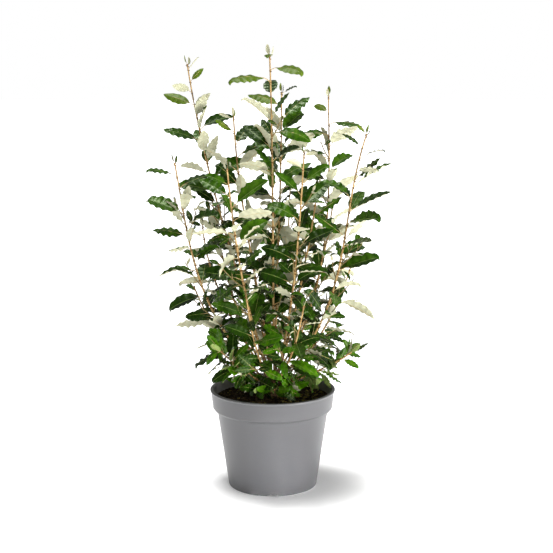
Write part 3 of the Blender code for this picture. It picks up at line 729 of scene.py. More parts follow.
        # Painted sheen: faces at the top of the bead take the lighter lip grey.
        if middle.z > self.height - self.bead * self.lip_sheen_share:
            return PotFace.LIP
        # Painted light: faces of the inner wall take the lighter inside grey, lifting the shade there.
        inward = face.normal.x * middle.x + face.normal.y * middle.y < 0.0
        inside = reach < self.inner_radius(middle.z) + self.wall / 2.0
        below_lip = self.floor / 2.0 < middle.z < self.height - self.bead
        if below_lip and inside and (inward or face.normal.z > self.level):
            return PotFace.INSIDE
        return PotFace.OUTSIDE


# Soil
@dataclass(frozen=True)
class Strewn:
    """Small lumps of one kind that lie on the soil, some of them drawn to its right front."""

    name: str
    finish: Finish
    count: int
    size: Span
    flatness: float
    length: float
    seed: int
    drawn_right: float


STREWN = (
    Strewn("soil_crumbs", SOIL_CRUMB, 620, (0.0010, 0.0032), 0.7, 1.3, 1, 0.0),
    Strewn("moss_flecks", MOSS, 300, (0.0012, 0.0036), 0.45, 1.2, 2, 0.7),
    Strewn("soil_fibres", FIBRE, 90, (0.0004, 0.0009), 0.8, 9.0, 3, 0.1),
)


@dataclass
class Soil:
    """The potting soil: a low crumbly mound with lumps, fibres and flecks of moss."""

    pot: Pot
    edge_height: float = 0.1610
    clearance: float = 0.00033
    top_height: float = SOIL_TOP.z
    flat_radius: float = 0.018
    shoulder_share: float = 0.62
    rings: int = 44
    sides: int = 176
    roughness: float = 0.0022
    coarse_cells: float = 90.0
    fine_cells: float = 320.0
    sink: float = 0.35
    margin: float = 0.004
    right_front: Span = (-75.0, 25.0)
    tilt: float = 0.5
    knobs: float = 0.22

    def edge(self) -> float:
        """Radius of the soil at the pot's wall."""
        return self.pot.inner_radius(self.edge_height) - self.clearance

    def surface_height(self, radius: float) -> float:
        """Height of the smooth mound at a distance from the axis."""
        share = max(0.0, radius - self.flat_radius) / (self.edge() - self.flat_radius)
        return self.top_height + (self.edge_height - self.top_height) * share

    def surface(self) -> Profile:
        """Outline of the mound, as the solid has it.

        Returns:
            The (radius, height) points.
        """
        rise = self.top_height - self.edge_height
        shoulder = (self.edge() * self.shoulder_share, self.edge_height + rise * self.shoulder_share)
        middle = [(0.0, self.top_height), (self.flat_radius, self.top_height)]
        return middle + [shoulder, (self.edge(), self.edge_height)]

    def build(self) -> None:
        """Models the mound and what lies on it."""
        heights = (self.pot.floor + GAP, self.pot.band_foot_height)
        outline = [(self.pot.inner_radius(height) - self.clearance, height) for height in heights]
        for index in range(self.rings + 1):
            reach = self.edge() * (1.0 - index / (self.rings + 1.0))
            outline.append((reach, self.surface_height(reach)))
        mound = raised_rings("potting_soil", outline, self.sides, poked=True)
        self.roughen(mound)
        dress(mound, [SOIL_DARK], 60.0, ["soil"])
        for kind in STREWN:
            dress(self.scatter(kind), [kind.finish], 50.0)

    def roughen(self, mound: bpy.types.Object) -> None:
        """Raises and sinks the surface into crumbs, within the mound's height.

        Args:
            mound: The mound.
        """
        for vertex in mound.data.vertices:
            if vertex.co.z < self.edge_height - 0.001:
                continue
            coarse = noise.noise(vertex.co * self.coarse_cells)
            fine = noise.noise(vertex.co * self.fine_cells)
            settled = min(1.0, (self.edge() - math.hypot(vertex.co.x, vertex.co.y)) / self.margin)
            vertex.co.z += self.roughness * (0.6 * coarse + 0.4 * fine - self.sink) * settled

    def scatter(self, kind: Strewn) -> bpy.types.Object:
        """Scatters small lumps over the soil.

        Args:
            kind: What they are.

        Returns:
            The piece.
        """
        take_up()
        bpy.ops.mesh.primitive_ico_sphere_add(subdivisions=2, radius=1.0)
        pattern = take_pattern(name_piece("crumb"))
        chance = random.Random(f"{SEED} soil {kind.seed}")
        copies = Copies()
        for _ in range(kind.count):
            reach = (self.edge() - self.margin) * math.sqrt(chance.uniform(0.01, 1.0))
            azimuth = chance.uniform(0.0, FULL_TURN)
            if chance.random() < kind.drawn_right:
                azimuth = chance.uniform(*self.right_front)
            radius = between(kind.size, chance.random() ** 2.0)
            shape = Matrix.Rotation(chance.uniform(0.0, math.tau), 3, "Z")
            tilt = Matrix.Rotation(chance.uniform(-self.tilt, self.tilt), 3, "X")
            drawn = Matrix.Diagonal((radius * kind.length, radius, radius * kind.flatness))
            waves = np.sin(pattern[0] * chance.uniform(2.0, 4.0) + chance.uniform(0.0, 6.0))
            place = outward(azimuth) * reach
            sunk = self.roughness * self.sink - radius * kind.flatness * self.sink
            place.z = self.surface_height(reach) - sunk
            corners = pattern[0] * (1.0 + self.knobs * waves)
            copies.add(corners @ np.array(shape @ tilt @ drawn).T + np.array(place), pattern)
        return copies.piece(kind.name)


# Limbs
@dataclass(frozen=True)
class Trunk:
    """The short woody trunk: a flared foot on the soil and a leaning taper."""

    foot_height: float = SOIL_TOP.z + GAP
    top_height: float = 0.2075
    flare_radius: float = 0.0125
    radius: float = 0.0068
    top_radius: float = 0.0052
    flare_height: float = 0.010
    lean: float = 0.0030

    def share_at(self, height: float) -> float:
        """Share of the trunk's height that lies below a height."""
        return (height - self.foot_height) / (self.top_height - self.foot_height)

    def radius_at(self, height: float) -> float:
        """Radius of the trunk at a height: a root flare, then a slow taper.

        Args:
            height: The height.

        Returns:
            The radius.
        """
        above = height - self.foot_height
        taper = between((self.radius, self.top_radius), self.share_at(height))
        if above >= self.flare_height:
            return taper
        return taper + (self.flare_radius - self.radius) * (1.0 - above / self.flare_height) ** 2

    def centre_at(self, height: float) -> Vector:
        """Centre of the leaning trunk at a height."""
        share = self.share_at(height)
        return Vector((self.lean * share * share, 0.0, height))


TRUNK = Trunk()


@dataclass(frozen=True)
class Limbs:
    """Sizes of the boughs, stems and twigs."""

    bough_foot: float = 0.0026
    bough_tip: float = 0.0024
    stem_foot: float = 0.0023
    stem_tip: float = 0.0010
    twig_foot: float = 0.0012
    twig_tip: float = 0.0008
    triangle_swell: float = 1.2
    guard_swell: float = 1.3
    heading_share: float = 0.05
    stem_segment: float = 0.036
    bough_segment: float = 0.016


LIMBS = Limbs()


@dataclass(frozen=True)
class Shoot:
    """One bough with its mass of foliage, from its foot on the trunk to its tip.

    The tip lies reach away from the pot's axis towards azimuth, at height. bow is how far
    the middle swings outwards, curl turns the upper part out again and sway moves the
    middle sideways. bare is the bough's length, and leaf_share the size of its leaves.
    """

    name: str
    azimuth: float
    reach: float
    height: float
    bow: float
    curl: float
    sway: float
    foot_turn: float
    foot_height: float
    bare: float = 0.060
    leaf_share: float = 1.0

    def stem_radius(self) -> float:
        """Radius at the foot of the shoot's stem, less where its leaves are small."""
        return LIMBS.stem_foot * self.leaf_share

    def foot_radius(self) -> float:
        """Radius of the shoot at its foot: a bough's, or that of its own swollen stem."""
        return LIMBS.bough_foot if self.bare else self.stem_radius() * LIMBS.triangle_swell

    def foot(self) -> Vector:
        """Where the shoot's foot stands: the end of its tilted limb just clears the trunk.

        Returns:
            The foot's middle.
        """
        centre = TRUNK.centre_at(min(self.foot_height, TRUNK.top_height))
        centre.z = self.foot_height
        if self.foot_height > TRUNK.top_height:
            return centre
        out = outward(self.foot_turn)
        heading = self.bent_point(centre, LIMBS.heading_share) - centre
        tilt = max(0.0, heading.normalized().dot(out))
        end_radius = self.foot_radius() * math.sqrt(1.0 - tilt * tilt)
        return centre + out * (TRUNK.radius_at(self.foot_height) + GAP + end_radius)

    def bent_point(self, foot: Vector, share: float) -> Vector:
        """Point at a share of the curve from a foot to the tip.

        Args:
            foot: The curve's first point.
            share: How far along it, from 0 to 1.

        Returns:
            The point.
        """
        tip = outward(self.azimuth) * self.reach + Vector((0.0, 0.0, self.height))
        across = (tip - foot).to_2d().normalized()
        out = Vector((across.x, across.y, 0.0))
        side = Vector((-across.y, across.x, 0.0))
        arch = 4.0 * share * (1.0 - share)
        swing = self.bow * arch + self.curl * 2.0 * arch * (1.0 - 2.0 * share)
        return foot.lerp(tip, share) + out * swing + side * self.sway * arch

    def way(self, samples: int = 200) -> Way:
        """The shoot's centre line, with finely spaced points."""
        foot = self.foot()
        return Way([self.bent_point(foot, index / samples) for index in range(samples + 1)])

    def limbs(self) -> tuple[Line, Way]:
        """The bough's points, empty if the shoot has none, and the stem.

        Returns:
            The points and the stem.
        """
        way = self.way()
        bough = way.stretch(0.0, self.bare, LIMBS.bough_segment) if self.bare else []
        start = self.bare + GAP if self.bare else 0.0
        return bough, Way(way.stretch(start, way.length, LIMBS.stem_segment))


SHOOTS = (
    Shoot("centre_tall", -99.0, 0.030, 0.769, 0.010, 0.004, 0.004, -100.0, 0.208),
    Shoot("front_right", -65.3, 0.127, 0.612, 0.023, 0.004, 0.0, -60.0, 0.1955, 0.055),
    Shoot("front_left", -121.7, 0.143, 0.585, 0.022, 0.002, 0.0, -127.0, 0.195, 0.055),
    Shoot("right", -17.2, 0.169, 0.638, 0.035, 0.017, 0.0, -25.0, 0.1895),
    Shoot("left", -170.0, 0.172, 0.587, 0.043, 0.010, 0.0, -170.0, 0.1875),
    Shoot("left_tall", 160.0, 0.161, 0.755, 0.013, -0.002, 0.0, 157.0, 0.2015, 0.070),
    Shoot("right_tall", 24.4, 0.109, 0.701, 0.045, 0.009, 0.0, 24.0, 0.191, 0.065),
    Shoot("back_centre", 74.9, 0.062, 0.706, 0.006, -0.004, 0.0, 84.0, 0.2055),
    Shoot("inner_left", 171.7, 0.069, 0.666, 0.006, -0.003, 0.0, 125.0, 0.206),
    Shoot("inner_right", 0.0, 0.080, 0.542, 0.006, 0.0, 0.0, 5.0, 0.2025, 0.055),
    Shoot("left_short", 158.5, 0.136, 0.470, 0.025, -0.002, 0.0, 192.0, 0.195, 0.050),
    Shoot("back_left", 134.0, 0.165, 0.520, 0.030, 0.005, 0.0, 135.0, 0.1895),
    Shoot("back_left_inner", 108.0, 0.150, 0.491, 0.024, 0.004, 0.0, 108.0, 0.1965),
    Shoot("back_right_inner", 78.0, 0.158, 0.528, 0.028, 0.004, 0.0, 72.0, 0.1895),
    Shoot("back_right", 47.0, 0.165, 0.503, 0.030, 0.004, 0.0, 50.0, 0.1985),
    Shoot("low_back_right", 28.0, 0.165, 0.394, 0.028, 0.004, 0.0, 12.0, 0.1835, 0.055),
    Shoot("low_back_left", 152.0, 0.165, 0.351, 0.026, 0.004, 0.0, 155.0, 0.1825, 0.050),
    Shoot("low_back", 93.0, 0.165, 0.380, 0.030, 0.004, 0.0, 95.0, 0.1805, 0.055),
    Shoot("low_front_left", -108.0, 0.142, 0.372, 0.022, 0.003, 0.0, -113.0, 0.1875, 0.045, 0.8),
    Shoot("low_front_right", -68.5, 0.145, 0.356, 0.022, 0.003, 0.0, -76.0, 0.1845, 0.045, 0.8),
    Shoot("low_left_branch", -144.3, 0.112, 0.262, 0.006, -0.001, 0.0, -155.0, 0.1805, 0.0, 0.75),
    Shoot("low_right_branch", -12.1, 0.143, 0.251, 0.006, -0.004, 0.0, -6.0, 0.1765, 0.0, 0.68),
    Shoot("basal_left", -160.0, 0.060, 0.193, 0.004, 0.0, 0.0, -184.0, 0.1755, 0.0, 0.55),
    Shoot("basal_front_left", -122.0, 0.052, 0.187, 0.004, 0.0, 0.0, -126.0, 0.176, 0.0, 0.50),
    Shoot("basal_front", -86.0, 0.046, 0.187, 0.004, 0.0, 0.0, -86.0, 0.1755, 0.0, 0.50),
    Shoot("basal_front_right", -48.0, 0.054, 0.191, 0.004, 0.0, 0.0, -46.0, 0.1775, 0.0, 0.52),
    Shoot("basal_back_right", 35.0, 0.060, 0.195, 0.004, 0.0, 0.0, 35.0, 0.1755, 0.0, 0.55),
    Shoot("basal_back_left", 120.0, 0.060, 0.197, 0.004, 0.0, 0.0, 120.0, 0.1755, 0.0, 0.55),
)


@dataclass(frozen=True)
class TwigPlace:
    """A side twig's share along its stem, its azimuth and its length."""

    share: float
    azimuth: float
    length: float


SHOWN_TWIGS = {
    "right": [TwigPlace(0.44, 5.0, 0.070), TwigPlace(0.28, 20.0, 0.062), TwigPlace(0.20, -60.0, 0.052)],
    "low_right_branch": [TwigPlace(0.45, 40.0, 0.045)],
    "low_left_branch": [TwigPlace(0.42, 150.0, 0.050), TwigPlace(0.55, -80.0, 0.040)],
}


@dataclass(frozen=True)
class ShownLeaves:
    """Where the leaves near a shoot's tip are seen to stand.

    first is the distance from the tip down to the uppermost leaf, and young the stretch
    where leaves are still growing. hours are the sides that the leaves take from there
    down, as hours of a clock seen from above with the viewer at six, 0 for a bare place.
    views has the letter of a View for each.
    """

    first: float
    young: float
    hours: tuple[int, ...] = ()
    views: str = ""


SHOWN_LEAVES = {
    "centre_tall": ShownLeaves(0.001, 0.015, (6, 3, 9, 12, 0, 8, 3, 10, 4, 8, 2, 10, 2, 10, 8, 3, 4, 10),
                               "aaat-uattuttututtt"),
    "left_tall": ShownLeaves(0.011, 0.120, (3, 3, 8, 9, 5, 3, 9, 6, 12, 3, 10), "stututsuttt"),
    "left": ShownLeaves(0.026, 0.040, (9, 2, 5, 9, 4, 9, 7, 2, 9, 1, 9, 5, 9), "stustsutststs"),
    "inner_left": ShownLeaves(0.007, 0.070, (9, 8, 1, 3, 8, 10, 4, 9), "utttutut"),
    "right_tall": ShownLeaves(0.033, 0.060, (10, 3, 9, 5, 8, 2, 9, 3, 5, 10, 2), "taauuttutt"),
    "right": ShownLeaves(0.002, 0.080, (9, 9, 4, 5, 3, 10, 3, 5, 9, 3, 2, 3), "ttsustststts"),
    "front_right": ShownLeaves(0.009, 0.100, (4, 8, 3, 10, 2, 9, 6, 2, 9, 4, 10), "uuttttuttut"),
    "front_left": ShownLeaves(0.030, 0.060, (9, 10, 3, 4, 9, 2, 8, 6, 9, 5), "tttuutuutu"),
    "back_centre": ShownLeaves(0.005, 0.020, (3, 10, 2, 3, 8), "ttttu"),
    "left_short": ShownLeaves(0.007, 0.100, (9, 8, 2, 10, 3), "tuttt"),
    "low_left_branch": ShownLeaves(0.004, 0.010, (9, 11, 1), "att"),
}


# The space that is taken
def prism(start: Vector, end: Vector, radius: float) -> tuple[Line, Faces]:
    """Corners and faces of an open four-sided prism round a line.

    Args:
        start: The line's first end.
        end: Its last end.
        radius: How far the corners lie from it.

    Returns:
        The corners and the faces.
    """
    direction = (end - start).normalized()
    side = direction.orthogonal().normalized() * radius
    other = direction.cross(side)
    ring = (side, other, -side, -other)
    corners = [start + offset for offset in ring] + [end + offset for offset in ring]
    faces = [(index, (index + 1) % 4, (index + 1) % 4 + 4, index + 4) for index in range(4)]
    return corners, faces


def turned_profile(profile: Profile, steps: int = 120) -> tuple[Line, Faces]:
    """Corners and faces of a turned surface.

    Args:
        profile: The (radius, height) points.
        steps: Steps round the axis.

    Returns:
        The corners and the faces.
    """
    corners, faces = [], []
    count = len(profile)
    for index in range(steps):
        angle = math.tau * index / steps
        for radius, height in profile:
            corners.append(Vector((radius * math.cos(angle), radius * math.sin(angle), height)))
        start = index * count
        after = (index + 1) % steps * count
        for level in range(count - 1):
            faces.append((start + level, start + level + 1, after + level + 1, after + level))
    return corners, faces


@dataclass
class Taken:
    """Solids that are already placed, tested for touch by new ones."""

    owners: list[str] = field(default_factory=list)
    lows: np.ndarray = field(default_factory=lambda: np.empty((0, 3)))
    highs: np.ndarray = field(default_factory=lambda: np.empty((0, 3)))
    trees: list[BVHTree] = field(default_factory=list)

    def add(self, owner: str, corners: Line, faces: Faces) -> None:
        """Adds one solid.

        Args:
            owner: The limb or piece that it belongs to.
            corners: Its corners.
            faces: Its faces.
        """
        places = np.array([corner[:] for corner in corners])
        self.owners.append(owner)
        self.lows = np.vstack((self.lows, places.min(axis=0)))
        self.highs = np.vstack((self.highs, places.max(axis=0)))
        self.trees.append(BVHTree.FromPolygons(corners, faces))

    def add_limb(self, owner: str, points: Line, radii: list[float]) -> None:
        """Adds a limb as a row of four-sided prisms.

        Args:
            owner: The limb's name.
            points: Its centre line.
            radii: Its radius at each point.
        """
        for start, end, radius in zip(points, points[1:], radii):
            self.add(owner, *prism(start, end, radius * LIMBS.guard_swell))

    def touches(self, corners: Line, faces: Faces, skip: str) -> bool:
        """Tests whether a solid cuts or touches any that is there.

        Args:
            corners: Its corners.
            faces: Its faces.
            skip: The owner that is left out of the test.

        Returns:
            True where it does.
        """
        places = np.array([corner[:] for corner in corners])
        near = np.all((places.max(axis=0) >= self.lows) & (places.min(axis=0) <= self.highs), axis=1)
        tree = None
        for index in np.flatnonzero(near):
            if self.owners[index] == skip:
                continue
            tree = tree or BVHTree.FromPolygons(corners, faces)
            if tree.overlap(self.trees[index]):
                return True
        return False


# Leaves
@dataclass(frozen=True)
class Pose:
    """How a leaf is set: angle to the stem, kink, arch and roll in degrees, and its length."""

    angle: float
    kink: float
    arch: float
    roll: float
    length: float


@dataclass
class Leaf:
    """One leaf: its root, its directions there, its length, its bends, its kind and its limb."""

    root: Vector
    along: Vector
    up: Vector
    side: Vector
    length: float
    kink: float
    arch: float
    kind: LeafKind = LeafKind.MATURE
    view: View | None = None
    limb: str = ""

    def turn_at(self, share: float) -> float:
        """How far the midrib has turned down by a share of its length."""
        return self.kink * min(1.0, share / RULE.petiole_share) + self.arch * share

    def place_at(self, share: float, steps: int = 8) -> tuple[Vector, Vector]:
        """Point of the midrib and the upward direction there.

        Args:
            share: How far along the midrib, from 0 to 1.
            steps: Steps that the bend is followed in.

        Returns:
            The point and the direction.
        """
        point = self.root.copy()
        step_length = self.length * share / steps
        for step in range(steps):
            turned = self.turn_at(share * (step + 0.5) / steps)
            point += (self.along * math.cos(turned) - self.up * math.sin(turned)) * step_length
        turned = self.turn_at(share)
        return point, self.up * math.cos(turned) + self.along * math.sin(turned)

    def corners(self, clearance: float = 0.0) -> Line:
        """Corners of the leaf's solid: its root, two rings of three and its tip.

        Args:
            clearance: Room added all round.

        Returns:
            The corners.
        """
        thickness = RULE.leaf_thickness + 2.0 * clearance
        corners = [self.root]
        for place, width in zip(RULE.ring_places, RULE.ring_widths):
            point, up = self.place_at(place)
            half = self.length * RULE.half_width_share * width + clearance
            top = point + up * (thickness / 3.0)
            corners += [point - up * (thickness * 2.0 / 3.0), top + self.side * half, top - self.side * half]
        return [*corners, self.place_at(1.0 + clearance / self.length)[0]]


LEAF_FACES = [
    (0, 1, 2), (0, 2, 3), (0, 3, 1),
    (1, 4, 5, 2), (2, 5, 6, 3), (3, 6, 4, 1),
    (4, 7, 5), (5, 7, 6), (6, 7, 4),
]


@dataclass
class Bearer:
    """A stem or twig that bears leaves: its name, line, leaf size and random draws."""

    name: str
    way: Way
    size: float
    chance: random.Random


@dataclass(frozen=True)
class GrowthRule:
    """The seeded rule that sets leaves and twigs along a stem, as the solids follow it."""

    leaf_length: float = 0.0765
    half_width_share: float = 0.190
    leaf_thickness: float = 0.0019
    ring_places: Span = (0.40, 0.76)
    ring_widths: Span = (0.96, 0.82)
    clearance: float = 0.0009
    turn: float = 137.5
    turn_play: float = 16.0
    internode: float = 0.0224
    internode_play: float = 0.15
    first_leaf: float = 0.45
    last_leaf: float = 0.60
    angles: Span = (54.0, 30.0)
    angle_play: float = 8.0
    petiole_share: float = 0.16
    kink: float = 22.0
    kink_play: float = 7.0
    arches: Span = (30.0, 28.0)
    arch_play: float = 16.0
    roll_play: float = 36.0
    size_play: float = 0.12
    tip_shrink: float = 0.65
    hour_turn: float = 30.0
    hour_play: float = 8.0
    young_stretch: float = 0.060
    tip_leaf_length: float = 0.018
    tip_leaf_angles: Span = (14.0, 30.0)
    tip_leaf_step: float = 0.003
    turn_tries: tuple[float, ...] = (0.0, 24.0, -24.0, 48.0, -48.0, 72.0, -72.0, 100.0, -100.0)
    size_tries: Span = (1.0, 0.8)
    twig_length: float = 0.062
    twig_angle: float = 42.0
    twig_bend: float = 22.0
    twig_steps: int = 3
    twig_leaf_share: float = 0.72
    twig_places: tuple[float, ...] = (0.08, 0.24, 0.40)
    twig_stem_length: float = 0.33
    twig_turn_play: float = 120.0
    twig_length_play: float = 0.2
    twig_guard_start: float = 0.3
    twig_guard_swell: float = 1.6
    crown_radius: float = 0.236
    crown_middle: float = 0.50
    crown_half_height: float = 0.37
    crown_squareness: float = 3.2
    crown_span: Span = (0.168, 0.786)

    def holds(self, point: Vector) -> bool:
        """Whether a point is inside the space that the crown keeps to.

        Args:
            point: The point.

        Returns:
            True where it is.
        """
        level = abs(point.z - self.crown_middle) / self.crown_half_height
        if level >= 1.0 or not self.crown_span[0] < point.z < self.crown_span[1]:
            return False
        power = self.crown_squareness
        return math.hypot(point.x, point.y) < self.crown_radius * (1.0 - level ** power) ** (1.0 / power)

    def frame_leaf(self, at: tuple[Vector, Vector], azimuth: float, pose: Pose, size: float) -> Leaf:
        """Sets a leaf from the stem's direction and its turn round it.

        Args:
            at: Where it grows: the limb's point and direction.
            azimuth: Where it turns to, in degrees.
            pose: How it is set.
            size: Its size beside the pose's.

        Returns:
            The leaf.
        """
        root, direction = at
        reference = outward(azimuth)
        out = reference - direction * reference.dot(direction)
        out.normalize()
        lift = math.radians(pose.angle)
        along = direction * math.cos(lift) + out * math.sin(lift)
        up = direction * math.sin(lift) - out * math.cos(lift)
        up = Matrix.Rotation(math.radians(pose.roll), 3, along) @ up
        bends = (math.radians(pose.kink), math.radians(pose.arch))
        return Leaf(root, along, up, along.cross(up), pose.length * size, *bends)

    def settle_leaf(self, taken: Taken, limb: str, at: tuple[Vector, Vector], turn: float,
                    pose: Pose) -> Leaf | None:
        """Finds the first leaf near the wanted turn that is clear of all else.

        Args:
            taken: The space that is taken.
            limb: The limb that it grows on.
            at: Where it grows: the limb's point and direction.
            turn: The azimuth aimed at.
            pose: How it is set.

        Returns:
            The leaf, or None where there is no room.
        """
        for size in self.size_tries:
            for swing in self.turn_tries:
                leaf = self.frame_leaf(at, turn + swing, pose, size)
                if not self.holds(leaf.place_at(1.0)[0]):
                    continue
                if not taken.touches(leaf.corners(self.clearance), LEAF_FACES, limb):
                    taken.add(limb, leaf.corners(), LEAF_FACES)
                    leaf.limb = limb
                    return leaf
        return None

    def leaf_pose(self, share: float, grown: float, size: float, chance: random.Random) -> Pose:
        """How a leaf is set, by its place along its limb and how far it has grown.

        Args:
            share: How far along the limb it grows, from 0 to 1.
            grown: How far it has grown, from 0 to 1.
            size: The limb's leaf size.
            chance: The random draws.

        Returns:
            The pose.
        """
        length = self.leaf_length * size * (1.0 - self.tip_shrink * (1.0 - grown))
        return Pose(
            between(self.angles, share) + chance.uniform(-self.angle_play, self.angle_play),
            self.kink + chance.uniform(-self.kink_play, self.kink_play),
            between(self.arches, share) + chance.uniform(-self.arch_play, self.arch_play),
            chance.uniform(-self.roll_play, self.roll_play),
            length * (1.0 + chance.uniform(-self.size_play, self.size_play)),
        )

    def leaves_along(self, taken: Taken, limb: Bearer) -> list[Leaf]:
        """Leaves set spirally down a limb, closer to it and smaller towards its tip.

        Args:
            taken: The space that is taken.
            limb: The limb.

        Returns:
            The leaves.
        """
        leaves = []
        chance, total = limb.chance, limb.way.length
        internode = self.internode * limb.size
        spiral = ShownLeaves(internode * self.last_leaf, self.young_stretch)
        shown = SHOWN_LEAVES.get(limb.name, spiral)
        turn = chance.uniform(0.0, FULL_TURN)
        from_tip = shown.first
        hours, views = list(shown.hours), list(shown.views)
        while from_tip < total - internode * self.first_leaf:
            turn += self.turn + chance.uniform(-self.turn_play, self.turn_play)
            play = chance.uniform(-self.hour_play, self.hour_play)
            hour = hours.pop(0) if hours else None
            view = View(views.pop(0)) if views else None
            if hour:
                turn = 90.0 - hour * self.hour_turn + play
            share = 1.0 - from_tip / total
            pose = self.leaf_pose(share, min(1.0, from_tip / shown.young), limb.size, chance)
            leaf = None
            if hour != 0:
                leaf = self.settle_leaf(taken, limb.name, limb.way.at(share * total), turn, pose)
            if leaf:
                leaf.view = view
                leaves.append(leaf)
            from_tip += internode * (1.0 + chance.uniform(-self.internode_play, self.internode_play))
        return leaves

    def tip_leaves(self, taken: Taken, limb: Bearer) -> list[Leaf]:
        """The two narrow leaves that unfold at a limb's tip.

        Args:
            taken: The space that is taken.
            limb: The limb.

        Returns:
            The leaves.
        """
        leaves = []
        turn = limb.chance.uniform(0.0, FULL_TURN)
        for index, angle in enumerate(self.tip_leaf_angles):
            at = limb.way.at(limb.way.length - self.tip_leaf_step * (index + 0.5))
            pose = Pose(angle, 0.0, -angle, 0.0, self.tip_leaf_length * limb.size)
            leaves.append(self.settle_leaf(taken, limb.name, at, turn + 180.0 * index, pose))
        return [leaf for leaf in leaves if leaf]

    def twig_points(self, at: tuple[Vector, Vector], azimuth: float, length: float) -> Line:
        """Centre line of a side twig that leaves its stem and curves up.

        Args:
            at: Where it grows: the stem's point and direction.
            azimuth: Where it turns to, in degrees.
            length: Its length.

        Returns:
            The points.
        """
        root, direction = at
        reference = outward(azimuth)
        out = (reference - direction * reference.dot(direction)).normalized()
        start, bend = math.radians(self.twig_angle), math.radians(self.twig_bend)
        points = [root]
        for step in range(self.twig_steps):
            angle = start - bend * (step + 0.5) / self.twig_steps
            heading = direction * math.cos(angle) + out * math.sin(angle)
            points.append(points[-1] + heading * (length / self.twig_steps))
        return points

    def twigs_of(self, shoot: Shoot, stem_length: float, chance: random.Random) -> list[TwigPlace]:
        """A shoot's side twigs: those shown, or else the rule's.

        Args:
            shoot: The shoot.
            stem_length: Its stem's length.
            chance: The random draws.

        Returns:
            The twigs.
        """
        rows = list(SHOWN_TWIGS.get(shoot.name, ()))
        if rows or shoot.bare == 0.0:
            return rows
        places = self.twig_places if stem_length > self.twig_stem_length else self.twig_places[:2]
        for place in places:
            azimuth = shoot.azimuth + chance.uniform(-self.twig_turn_play, self.twig_turn_play)
            play = chance.uniform(-self.twig_length_play, self.twig_length_play)
            rows.append(TwigPlace(place, azimuth, self.twig_length * (1.0 + play)))
        return rows


RULE = GrowthRule()


@dataclass
class Mass:
    """What grows on one shoot: its bough, stem, twigs and leaves."""

    shoot: Shoot
    bough: Line
    stem: Way
    twigs: list[tuple[str, Way]] = field(default_factory=list)
    leaves: list[Leaf] = field(default_factory=list)


